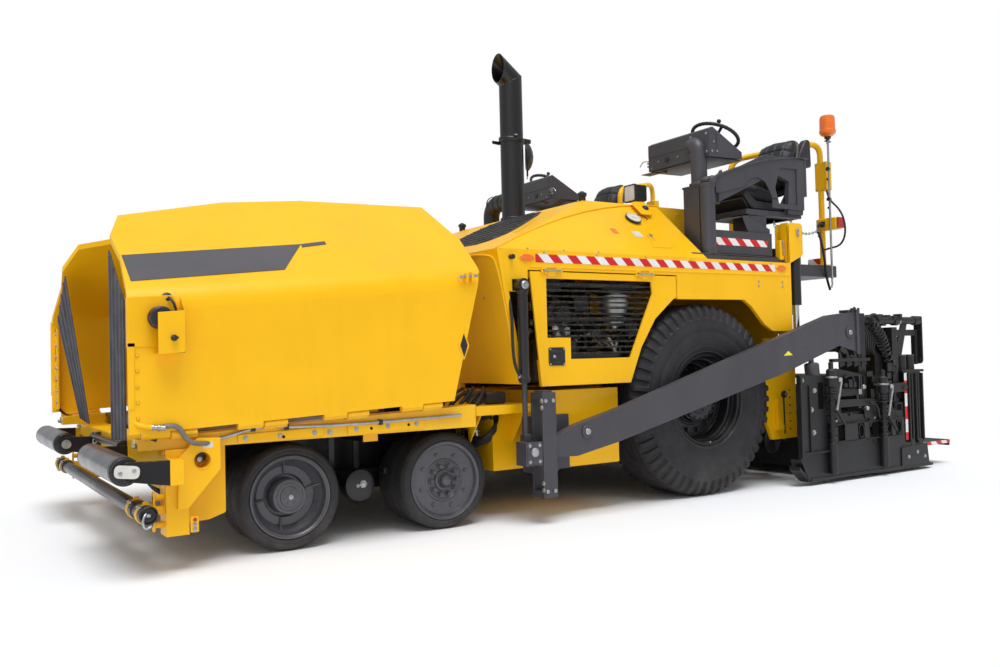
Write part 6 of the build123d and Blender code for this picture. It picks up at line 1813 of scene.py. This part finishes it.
class PAVER_OT_rail_fittings(PaverOperator):
    """Makes the boxes, lamps, chains, cables, lift posts and clips at the rear rails"""
    bl_idname = "paver.rail_fittings"
    bl_label = "Rail fittings"

    def make(self, sizes):
        shape = Shape()
        for _, s in SIDES:
            # guard rail: one bar bent into a loop, higher at the rear
            loop = at([-1025, -1025, -1025, -1245, -1530, -1750, -1750, -1750], s
                * np.array([700, 700, 700, 800, 930, 1030, 1030, 1030]),
                [1700, 2345, 2585, 2634, 2697, 2745, 2505, 1700])
            tube(shape, bent(loop, 9), 0.024, 0, 20)
            for x, y in ((-1025, 700), (-1750, 1030)):
                block(shape, at(x - 60, s * (y - 40), 1700), at(x + 60, s * (y + 40), 1712), 0.003,
                    0)
            # lift post: a folded channel, closed in front and outside, with a slanted foot
            plate_y(shape, [(-1074, 1730), (-1074, 1955), (-1055, 1974), (-925, 1974),
                (-904, 1955), (-904, 1662), (-920, 1662)], 1354, 12, s, 0, 16, 3)
            plate_y(shape, [(-1100, 1750), (-1100, 1955), (-1080, 1974), (-925, 1974),
                (-904, 1955), (-904, 1690)], 1240, 10, s, 0, 16, 3)
            plate_x(shape, np.array([(1292, 1690), (1366, 1664), (1366, 1974), (1292, 1974)])
                * [s, 1], -916, 12, 0, 6, 2)
            plate_x(shape, np.array(oblong(1240, 1690, 1300, 1974)) * [s, 1], -1090, 8, 0, 6, 2)
            knob(shape, -1010, 1915, s, [(0, 1225), (19, 1225), (19, 1372), (14, 1376), (0, 1376)],
                1, 20)
            bolts(shape, at([-1010], s * 1374, [1880]), (0, s, 0), 0.009, 0.007, 1)
            block(shape, at(-890, s * 1290, 1690), at(-846, s * 1340, 1838), 0.005, 0)
            hose(shape, [(-868, 1346, 1840), (-868, 1352, 1800), (-872, 1350, 1720)], s, 7, 0.006,
                1, 8)
            # boxes, lamps and plugs on the rails
            block(shape, at(-1800, s * 985, 2330), at(-1728, s * 1105, 2572), 0.008, 0)
            block(shape, at(-1790, s * 1004, 1994), at(-1700, s * 1204, 2092), 0.008, 0)
            block(shape, at(-1786, s * 1204, 1998), at(-1704, s * 1222, 2088), 0.006, 2)
            block(shape, at(-1700, s * 1050, 2020), at(-1684, s * 1100, 2066), 0.006, 3)
            turned(shape, at(-1686, s * 1076, 2042), (1, 0, 0),
                mm([(0, 0), (15, 0), (16, 8), (11, 12), (9, 40), (0, 42)]), 3, 16)
            hose(shape, [(-1650, 1076, 2040), (-1618, 1076, 2020), (-1640, 1100, 1900),
                (-1650, 1120, 1750), (-1700, 1090, 1600), (-1760, 1080, 1500)], s, 9, 0.010, 4, 12)
            loop = mirrored([at(-1745, 1090, 2335), at(-1740, 1100, 2260), at(-1720, 1250, 2130),
                at(-1712, 1290, 1960), at(-1712, 1240, 1850), at(-1712, 1110, 1838),
                at(-1730, 1040, 1830)], s)
            tube(shape, bent(loop, 9), 0.008, 4, 12)
            for z in (2180, 2420):
                turned(shape, at(-1738, s * 1105, z), (0, s, 0),
                    mm([(0, 0), (11, 0), (11, 9), (7, 12), (0, 12)]), 3, 14)
            bolts(shape, at(-1727, s * np.array([1000, 1090, 1000, 1090]),
                [2345, 2345, 2557, 2557]), (1, 0, 0), 0.006, 0.004, 1)
            block(shape, at(-1798, s * 880, 1702), at(-1736, s * 1010, 1770), 0.006, 5)
            for run in (((-1150, 1180, 2060), (-1300, 1130, 1880), (-1600, 1100, 1980)),
                    ((-1600, 1100, 2000), (-1660, 1060, 1900), (-1720, 1040, 1960)),
                    ((-900, 1240, 2000), (-960, 1220, 1880), (-1020, 1226, 1830))):
                chain(shape, bent(mirrored(at(*np.array(run).T), s), 24), 0.006, 1)
            for x in (-1100, -1300, -1500):
                plate_y(shape, [(x, 1700), (x + 60, 1700), (x + 60, 1850), (x, 1840)], 960, 8, s,
                    0, 6)
            block(shape, at(-1500, s * 700, 1702), at(-1180, s * 1010, 1830), 0.012, 3)
            for n in range(3):
                run = mirrored([at(-1110 - 18 * n, 1240 - 20 * n, 1650), at(-1130, 1230, 1500),
                    at(-1150 - 30 * n, 1180, 1350), at(-1120, 1150 - 40 * n, 1150),
                    at(-1080, 1090, 1000)], s)
                tube(shape, bent(run, 9), 0.013, 4, 12)
                turned(shape, run[0], (0, 0, 1), mm([(0, -10), (17, -10), (17, 12), (14, 14),
                    (14, 34), (0, 36)]), 1, 10)
        piece("rail_fittings", "machine", shape, ["yellow", "zinc", "red_lens", "plastic", "hose",
            "hazard_y"], ("lift_posts", "guard_rails"))


# ---------------------------------------------------------------- tow gear and screed

class PAVER_OT_tow_fittings(PaverOperator):
    """Makes the tow points' pins and cylinders' eyes, the guide bolts and the arms' end plates"""
    bl_idname = "paver.tow_fittings"
    bl_label = "Tow fittings"

    def make(self, sizes):
        fixed, lifted, carried_on = Shape(), Shape(), Shape()
        for _, s in SIDES:
            bolts(fixed, at(1530, s * 1515, [210, 250, 700, 740]), (1, 0, 0), 0.012, 0.008, 1)
            bolts(fixed, at([1452, 1508, 1452, 1508], s * 1520, [200, 200, 740, 740]), (0, s, 0),
                0.012, 0.009, 1, False, 16)
            plate_y(fixed, oblong(1446, 780, 1514, 800), 1405, 100, s, 0, 4)
            knob(fixed, 1580, 1440, s, [(0, 1370), (24, 1370), (26, 1374), (26, 1446), (20, 1452),
                (0, 1452)], 1, 20)
            bolts(fixed, at([1580], s * 1453, [1440]), (0, s, 0), 0.010, 0.006, 1)
            for z in (1398, 872):
                loop_turned(fixed, at(1580, s * 1410, z), (0, 0, 1),
                    mm([(31, -13), (37, -11), (37, 11), (31, 13)]), 2, 28)
            hose(fixed, [(1620, 1420, 900), (1660, 1430, 940), (1660, 1410, 1100),
                (1640, 1385, 1300), (1640, 1340, 1420)], s, 8, 0.010, 3, 12)
            turned(fixed, at(1605, s * 1412, 890), (1, 0, 0), mm([(0, 0), (14, 0), (14, 16),
                (11, 20), (0, 20)]), 1, 6)
            knob(lifted, 1595, 440, s, [(0, 1413), (22, 1413), (22, 1522), (27, 1524), (27, 1532),
                (18, 1538), (0, 1538)], 1, 24)
            bolts(lifted, at([1560, 1630, 1560, 1630], s * 1521.5, [385, 385, 480, 480]),
                (0, s, 0), 0.011, 0.008, 1)
            plate_y(lifted, oblong(1548, 372, 1644, 492), 1521, 5, s, 0, 8)
            # arm ends: boss, triangle, hole pairs drawn as flat black discs of painted shade,
            # ribbed end plate and its bolts
            plate_y(carried_on, [(-707, 1000), (-656, 965), (-756, 968)], 1498, 1.2, s, 4, 1, 0.4)
            holes = np.array([(-560, 1010), (-600, 925), (-640, 1085), (-860, 1120), (-800, 1040),
                (-900, 1020), (-960, 1120), (-860, 960), (-700, 890), (-600, 1030)])
            # painted shade: each hole is a flat black disc, 1.2 mm high, laid on the plate
            bolts(carried_on, at(holes[:, 0], s * 1497.2, holes[:, 1]), (0, s, 0), 0.006, 0.0012,
                5, False, 12)
            for x, z in ((1180, 535), (-1420, 1130)):
                loop_turned(carried_on, at(x, s * 1497, z), (0, s, 0),
                    mm([(22, 0), (40, 0), (42, 3), (42, 9), (38, 12), (24, 12)]), 0, 32)
                turned(carried_on, at(x, s * 1497, z), (0, s, 0),
                    mm([(0, 2), (21, 2), (21, 15), (18, 18), (0, 18)]), 1, 24)
            plate_y(carried_on, [(-1530, 1306), (-1420, 1306), (-1420, 1284), (-1530, 1290)], 1410,
                84, s, 0, 4, 1.5)
            for y in (1430, 1462, 1494):
                plate_y(carried_on, oblong(-1552, 960, -1530, 1322), y, 9, s, 5, 4, 1)
            bolts(carried_on, at([-1460, -1490, -1440], s * 1499, [1302, 1312, 940]), (0, s, 0),
                0.013, 0.010, 5, True, 12)
            bolts(carried_on, at(-1499, s * np.array([1455, 1485]), [990, 1270]), (1, 0, 0), 0.010,
                0.008, 5)
            for x, z in ((-1340, 1000), (-1370, 985)):
                knob(carried_on, x, z, s, [(0, 1440), (22, 1440), (24, 1444), (24, 1492),
                    (18, 1498), (0, 1498)], 5, 20)
        piece("tow_guide_fittings", "machine", fixed, ["grey", "zinc", "black", "hose"])
        piece("tow_point_fittings", "tow_points", lifted, ["grey", "zinc"])
        piece("tow_arm_fittings", "screed", carried_on, ["grey", "zinc", "black", "hose",
            "amber_film", "black"])


CRANK_ARM = 230   # length of a crank's slanted arm, mm


def crank(shape, x, y, z, s):
    """A bent crank handle: an upright shaft, a slanted arm and a slanted grip."""
    run = mirrored([at(x, y, z), at(x, y + 12, z - 20), at(x + CRANK_ARM * 0.28, y + 14, z - 20
        - CRANK_ARM * 0.9)], s)
    tube(shape, run, 0.009, 1, 10)
    low = run[-1]
    tube(shape, np.array([low, low + [-0.10, 0.0, -0.12]]), 0.011, 0, 12)
    turned(shape, run[0], (0, 0, 1), mm([(0, -16), (16, -16), (18, -8), (18, 12), (12, 16),
        (0, 16)]), 1, 16)


def spiral(shape, path, radius, wire, turns, finish=0, steps=16):
    """A coiled tube: a wire carried round a line, radius from it, at an even pitch."""
    line = bent(path, 24)
    count = turns * steps
    where = np.linspace(0, len(line) - 1, count)
    mid = np.stack([np.interp(where, np.arange(len(line)), line[:, k]) for k in range(3)], -1)
    side, up, _ = carried(mid)
    t = np.arange(count) * TAU / steps
    coil = mid + radius * (side * np.cos(t)[:, None] + up * np.sin(t)[:, None])
    return tube(shape, coil, wire, finish, 8)


class PAVER_OT_screed_fittings(PaverOperator):
    """Makes the screed's end plates, skis, springs, cranks, jacks, shafts, hoses and bolts"""
    bl_idname = "paver.screed_fittings"
    bl_label = "Screed fittings"

    def make(self, sizes):
        shape = Shape()
        dice = np.random.default_rng(5)
        for _, s in SIDES:
            # side channel with ovals and slots, on posts, and its lips
            for z in (300, 432):
                plate_y(shape, upright(-1130, z, -2010, z + 8), 1525, 24, s, 0, 2, 1)
            for x0, x1 in ((-1130, -1180), (-1262, -1420), (-1500, -1560), (-1720, -1770),
                    (-1850, -1900), (-1980, -2010)):
                plate_y(shape, upright(x0, 302, x1, 438), 1541, 8, s, 0, 10, 1)
            # the ovals are thin near-black sheets of painted shade, standing for holes
            for x, w in ((-1221, 74), (-1460, 72), (-1640, 70), (-1810, 70), (-1940, 74)):
                plate_y(shape, oval(x, 370, w, 112, 20), 1540.5, 1.2, s, 5, 0.5, 0.3)
            # the slots are thin near-black sheets of painted shade too
            for x, z, w, h in ((-1250, 700, 150, 90), (-1420, 690, 120, 100),
                    (-1330, 520, 170, 40), (-1960, 600, 60, 60), (-1960, 500, 60, 50),
                    (-990, 560, 60, 200)):
                plate_y(shape, oblong(x, z, x - w, z + h), 1524.5, 1.2, s, 5, 3, 0.3)
            for x in (-1462, -1810, -1940):
                loop = eased(oval(x, 370, 60, 104, 20) * MM, 0.002)
                path = np.stack([loop[:, 0] + AXLE_X, np.full(len(loop), s * 1.549), loop[:, 1]],
                    -1)
                tube(shape, path, 0.004, 0, 6, closed=True)
            # ski: nose, foot plate with turned edges
            plate_y(shape, [(-772, 200), (-800, 196), (-880, 50), (-852, 46)], 1425, 104, s, 0, 6)
            plate_y(shape, upright(-880, 30, -1990, 54), 1523, 10, s, 0, 4)
            plate_y(shape, [(-1700, 14), (-1660, 32), (-2460, 40), (-2460, 20)], 1440, 66, s, 0, 4)
            plate_y(shape, [(-1990, 54), (-1990, 200), (-2340, 214), (-2362, 54)], 1524, 12, s, 0,
                6)
            bolts(shape, at([-2080, -2200, -2300], s * 1536, [120, 150, 110]), (0, s, 0), 0.011,
                0.008, 1)
            # front edge channel of the end gate
            plate_y(shape, upright(-776, 210, -800, 812), 1524, 20, s, 0, 4)
            plate_y(shape, upright(-880, 240, -894, 740), 1524, 14, s, 0, 4)
            plate_y(shape, oblong(-800, 236, -1110, 248), 1524, 24, s, 0, 3)
            bolts(shape, at([-810, -912, -930, -950], s * 1525, [780, 560, 390, 700]), (0, s, 0),
                0.014, 0.012, 1, True, 12)
            bolts(shape, at([-1130, -1185, -1660, -1180], s * 1525, [462, 462, 462, 820]),
                (0, s, 0), 0.012, 0.010, 1, True, 12)
            # jack and spring posts with their cranks
            for x, top in ((-1105, 905), (-1735, 830)):
                turned(shape, at(x, s * 1558, 0), (0, 0, 1), mm([(0, 70), (26, 70), (30, 76),
                    (30, 300), (24, 306), (24, top - 190), (34, top - 180), (36, top - 160),
                    (36, top - 60), (28, top - 50), (18, top - 46), (18, top), (0, top + 4)]), 0,
                    28)
                loop_turned(shape, at(x, s * 1558, top - 110), (0, 0, 1),
                    mm([(35, -8), (44, -6), (44, 6), (35, 8)]), 1, 28)
                spiral(shape, at(x, s * 1558, np.array([310, top - 260, top - 196])), 0.030, 0.005,
                    9, 0)
                plate_y(shape, oblong(x - 40, top - 240, x + 40, top - 180), 1510, 40, s, 0, 6)
                crank(shape, x - 60, 1590, top - 130, s)
                plate_z(shape, oblong(x - 70, s * 1520, x + 60, s * 1600), top - 250, 8, 0, 8)
            # grey cylinder above the gate
            turned(shape, at(-1085, s * 1470, 0), (0.1, 0, 1), mm([(0, 700), (44, 700), (50, 706),
                (50, 800), (54, 806), (54, 900), (42, 908), (20, 912), (20, 1010), (0, 1012)]), 2,
                32)
            plate_y(shape, [(-1210, 640), (-1560, 640), (-1560, 800), (-1210, 860)], 1506, 8, s, 0,
                10)
            hose(shape, [(-1300, 1530, 780), (-1360, 1536, 810), (-1420, 1536, 770),
                (-1410, 1530, 690)], s, 8, 0.007, 3, 10)
            for x in (-1490, -1510):
                turned(shape, at(x, s * 1518, 0), (0, 0, 1), mm([(0, 650), (8, 650), (8, 790),
                    (0, 792)]), 1, 12)
            knob(shape, -1545, 705, s, [(0, 1510), (20, 1510), (20, 1526), (14, 1532), (0, 1532)],
                1, 20)
            # gate plates, latch hooks, boxes and bars between the posts
            plate_y(shape, [(-1190, 620), (-1650, 610), (-1650, 560), (-1190, 560)], 1524, 14, s,
                0, 4)
            plate_y(shape, [(-1530, 460), (-1530, 560), (-1600, 600), (-1680, 560), (-1680, 460)],
                1524, 10, s, 0, 14)
            knob(shape, -1546, 540, s, [(0, 1524), (18, 1524), (18, 1552), (12, 1558), (0, 1558)],
                1, 20)
            hose(shape, [(-1560, 1560, 590), (-1640, 1566, 570), (-1660, 1566, 500),
                (-1680, 1560, 460)], s, 7, 0.008, 0, 10)
            hose(shape, [(-1640, 1540, 720), (-1700, 1560, 715), (-1790, 1566, 700),
                (-1800, 1566, 640)], s, 7, 0.010, 0, 10)
            for z in (420, 505, 590, 700):
                plate_y(shape, oblong(-1900, z, -1830, z + 46), 1506, 20, s, 0, 8)
            plate_y(shape, [(-1830, 640), (-2090, 650), (-2090, 720), (-1830, 716)], 1506, 26, s,
                0, 16)
            bolts(shape, at([-2050, -2075, -1860], s * 1533, [682, 684, 690]), (0, s, 0), 0.015,
                0.010, 0, True, 12)
            # ribs on the upright face over the frame's window
            for x in (-1290, -1380, -1470, -1560):
                plate_y(shape, [(x, 860), (x - 70, 880), (x - 10, 990), (x, 990)], 1495, 5, s, 0,
                    3)
            plate_y(shape, oblong(-1200, 905, -1650, 930), 1470, 44, s, 0, 4)
            for n in range(26):
                x = -1000 - 900 * dice.random()
                z = 260 + 560 * dice.random()
                w, h = 20 + 60 * dice.random(2)
                plate_y(shape, oblong(x, z, x - w, z + h), 1524, 5 + 8 * dice.random(), s, 0, 4, 1)
            # tall ribbed box at the rear with its striped edge
            for k, x in enumerate((-2130, -2178, -2222, -2262, -2310)):
                plate_y(shape, upright(x, 240, x - 16, 792), 1500, 20 if k % 2 else 28, s, 0, 5)
            plate_y(shape, upright(-2126, 236, -2326, 800), 1486, 16, s, 0)
            plate_y(shape, [(-2084, 250), (-2084, 796), (-2122, 800), (-2122, 250)], 1506, 6, s, 0,
                4)
            plate_y(shape, [(-2086, 252), (-2086, 794), (-2120, 798), (-2120, 252)], 1512.2, 1.2,
                s, 4, 1, 0.3)
            for x in (-2160, -2270):
                knob(shape, x, 226, s, [(0, 1500), (30, 1500), (34, 1504), (34, 1524), (26, 1530),
                    (0, 1530)], 0, 28)
            for x in (-2180, -2290):
                loop_turned(shape, at(x, s * 1430, 0), (0, 0, 1),
                    mm([(30, 930), (36, 930), (38, 934), (38, 944), (30, 944)]), 2, 28)
            # bellcrank, shafts, forks and the coiled hose above
            for x0, x1, r in ((-1760, -2420, 27), (-1600, -1790, 36), (-2060, -2120, 38),
                    (-1830, -1880, 40), (-2340, -2410, 36)):
                turned(shape, at(0, s * 1440, 1225), (-1, 0, 0),
                    mm([(0, -x0), (r, -x0), (r + 3, -x0 + 4), (r + 3, -x1 - 4), (r, -x1),
                    (0, -x1)]), 0, 24)
            for x in (-1780, -2128, -2350):
                loop_turned(shape, at(x, s * 1440, 1225), (1, 0, 0), mm(oblong(27, -9, 36, 9)), 1,
                    24)
            plate_y(shape, [(-1870, 1230), (-1800, 1240), (-1850, 1020), (-1990, 900),
                (-2090, 820), (-2110, 860), (-2050, 1000)], 1425, 14, s, 0, 20, 2)
            plate_y(shape, [(-2200, 1230), (-2270, 1215), (-2140, 830), (-2060, 830),
                (-2120, 1040)], 1425, 14, s, 0, 20, 2)
            plate_x(shape, np.array([(1395, 1262), (1470, 1262), (1470, 880), (1440, 860),
                (1400, 900)]) * [s, 1], -2432, 14, 0, 14, 2)
            turned(shape, at(-2432, s * 1432, 890), (-1, 0, 0),
                mm([(0, -16), (24, -16), (26, -12), (26, 14), (18, 20), (0, 20)]), 0, 20)
            plate_x(shape, np.array([(1410, 1280), (1470, 1280), (1480, 1150), (1400, 1150)])
                * [s, 1], -1640, 12, 0, 10, 2)
            for n in range(9):
                c = at(-1640 - 60 * n, s * (1430 + 40 * dice.random()), 1210 + 60 * dice.random())
                size = 0.012 + 0.022 * dice.random(3)
                block(shape, c - size, c + size, 0.004, 0)
            spiral(shape, mirrored([at(-1690, 1490, 1205), at(-1760, 1500, 1160),
                at(-1840, 1504, 1060), at(-1880, 1500, 920), at(-1990, 1490, 800)], s), 0.036,
                0.0075, 13, 3)
            hose(shape, [(-1680, 1480, 1245), (-1720, 1490, 1275), (-1790, 1490, 1270),
                (-1830, 1480, 1230)], s, 8, 0.010, 3, 10)
            for n in range(6):
                hose(shape, [(-1560 - 30 * n, 1460, 1190), (-1600 - 40 * n, 1500 - 6 * n, 1130),
                    (-1640 - 20 * n, 1470, 1040 - 20 * n), (-1700 - 26 * n, 1420, 960)], s, 8,
                    0.009, 3, 10)
            # burner boxes and pipes along the frame's back
            for k in range(4):
                y = s * (180 + 330 * k)
                block(shape, at(-1960, y - 70, 560), at(-1900, y + 70, 700), 0.012, 2)
                tube(shape, bent([at(-1930, y, 700), at(-1930, y, 760),
                    at(-1930, y + s * 120, 780), at(-1930, y + s * 165, 780)], 7), 0.012, 3, 10)
            tube(shape, at([-1890, -1890], [s * 20, s * 1380], 780), 0.016, 1, 12)
            block(shape, at(-2000, s * 20, 548), at(-1964, s * 1400, 566), 0.004, 0)
            bolts(shape, at(-1961, s * np.linspace(120, 1400, 12), 130), (-1, 0, 0), 0.011, 0.008,
                1)
        piece("screed_fittings", "screed", shape, ["screed", "zinc", "grey", "hose", "hazard_z",
            "hole"])


class PAVER_OT_walkway_fittings(PaverOperator):
    """Makes the walkway's raised tread, turned edges, striped ends and hinges"""
    bl_idname = "paver.walkway_fittings"
    bl_label = "Walkway fittings"

    def make(self, sizes):
        shape = Shape()
        rows, cols = np.arange(-2830, -2390, 38), np.arange(-1380, 1381, 38)
        gx, gy = (g.ravel() for g in np.meshgrid(rows, cols, indexing="ij"))
        odd = (np.round((gx + 2830) / 38) + np.round((gy + 1380) / 38)) % 2 > 0.5
        for pick, turn in ((odd, 1), (~odd, -1)):
            long_way, across = np.array([0.6, 0.8 * turn, 0]), np.array([0.8, -0.6 * turn, 0])
            ring = mm([(-13, 0), (0, -3.6), (13, 0), (0, 3.6)])
            base = ring[:, :1] * long_way + ring[:, 1:] * across
            top = base * 0.55 + [0, 0, 0.0022]
            shape.copies(np.vstack([base, top]), rings(np.stack([base, top])),
                at(gx[pick], gy[pick], 196), 0)
        for x in (-2850, -2380):
            block(shape, at(x, -1420, 172), at(x + 6, 1420, 200), 0.002, 0)
        for y in (-1424, 1418):
            block(shape, at(-2850, y, 170), at(-2376, y + 6, 200), 0.002, 0)
        for s in (1, -1):
            plate_y(shape, upright(-2848, 172, -2380, 198), 1424.2, 1.2, s, 1, 0.5, 0.3)
        plate_x(shape, oblong(-1418, 172, 1418, 199), -2851.6, 1.4, 2, 0.5, 0.3)
        for y in (-1200, -600, 0, 600, 1200):
            loop_turned(shape, at(-2352, y, 190), (0, 1, 0), mm(oblong(9, -45, 14, 45)), 0, 16)
            block(shape, at(-2600, y - 4, 140), at(-2390, y + 4, 184), 0.003, 0)
        piece("walkway_fittings", "walkway", shape, ["screed", "hazard_x", "hazard_y"])


class PAVER_OT_auger_screws(PaverOperator):
    """Makes the auger: a helical sheet round each half shaft, wound in opposite senses, with
    hub clamps"""
    bl_idname = "paver.auger_screws"
    bl_label = "Auger screws"

    def make(self, sizes):
        shape = Shape()
        for _, s in SIDES:
            turns, count = 4.4, 4 * 44
            t = np.linspace(0, turns * TAU, count)
            y = s * np.linspace(0.120, 1.140, count)
            radius = np.array([0.040, 0.095, 0.148, 0.148, 0.095, 0.040])
            gap = mm([-4, -4, -3.2, 3.2, 4, 4])
            grid = np.stack([radius[None] * np.cos(s * t)[:, None], y[:, None] + gap[None],
                radius[None] * np.sin(s * t)[:, None]], -1)
            shape.add(grid + at(-1100, 0, 330), rings(grid), 1)
            knob(shape, -1100, 330, s, [(0, 60), (39, 60), (40, 64), (40, 1136), (36, 1150),
                (0, 1150)], 0, 32)
            for k in range(6):
                loop_turned(shape, at(-1100, s * (180 + 180 * k), 330), (0, 1, 0),
                    mm([(39, -26), (50, -24), (52, 0), (50, 24), (39, 26)]), 0, 28)
        piece("auger_screws", "auger", shape, ["screed", "steel"], ("auger",))


# ---------------------------------------------------------------- the add-on

steps = (PAVER_OT_stage, PAVER_OT_finish_solids, PAVER_OT_drive_wheels, PAVER_OT_bogie_wheels,
    PAVER_OT_pivots, PAVER_OT_steering_links, PAVER_OT_push_rollers, PAVER_OT_hitch,
    PAVER_OT_front_fittings, PAVER_OT_wing_fittings, PAVER_OT_body_fittings,
    PAVER_OT_door_fittings, PAVER_OT_engine_details, PAVER_OT_hood_fittings, PAVER_OT_seats,
    PAVER_OT_steering_wheels, PAVER_OT_station_fittings, PAVER_OT_beacon, PAVER_OT_rail_fittings,
    PAVER_OT_tow_fittings, PAVER_OT_screed_fittings, PAVER_OT_walkway_fittings,
    PAVER_OT_auger_screws)


class PAVER_PT_steps(bpy.types.Panel):
    """Lists the steps, the sizes and the colours"""
    bl_label = "Paver"
    bl_idname = "PAVER_PT_steps"
    bl_space_type = "VIEW_3D"
    bl_region_type = "UI"
    bl_category = "Paver"

    def draw(self, context):
        for step in steps:
            self.layout.operator(step.bl_idname)
        for group in (context.scene.paver_sizes, context.scene.paver_colours):
            box = self.layout.box()
            for key in group.bl_rna.properties.keys():
                if key not in ("name", "rna_type"):
                    box.prop(group, key)


classes = (PaverColours, PaverSizes, *steps, PAVER_PT_steps)


def register():
    for item in classes:
        bpy.utils.register_class(item)
    bpy.types.Scene.paver_colours = bpy.props.PointerProperty(type=PaverColours)
    bpy.types.Scene.paver_sizes = bpy.props.PointerProperty(type=PaverSizes)


def unregister():
    del bpy.types.Scene.paver_sizes
    del bpy.types.Scene.paver_colours
    for item in reversed(classes):
        bpy.utils.unregister_class(item)


def main():
    """Registers the add-on and makes every piece in order."""
    register()
    for step in steps:
        group, name = step.bl_idname.split(".")
        getattr(getattr(bpy.ops, group), name)()


if __name__ == "__main__":
    main()
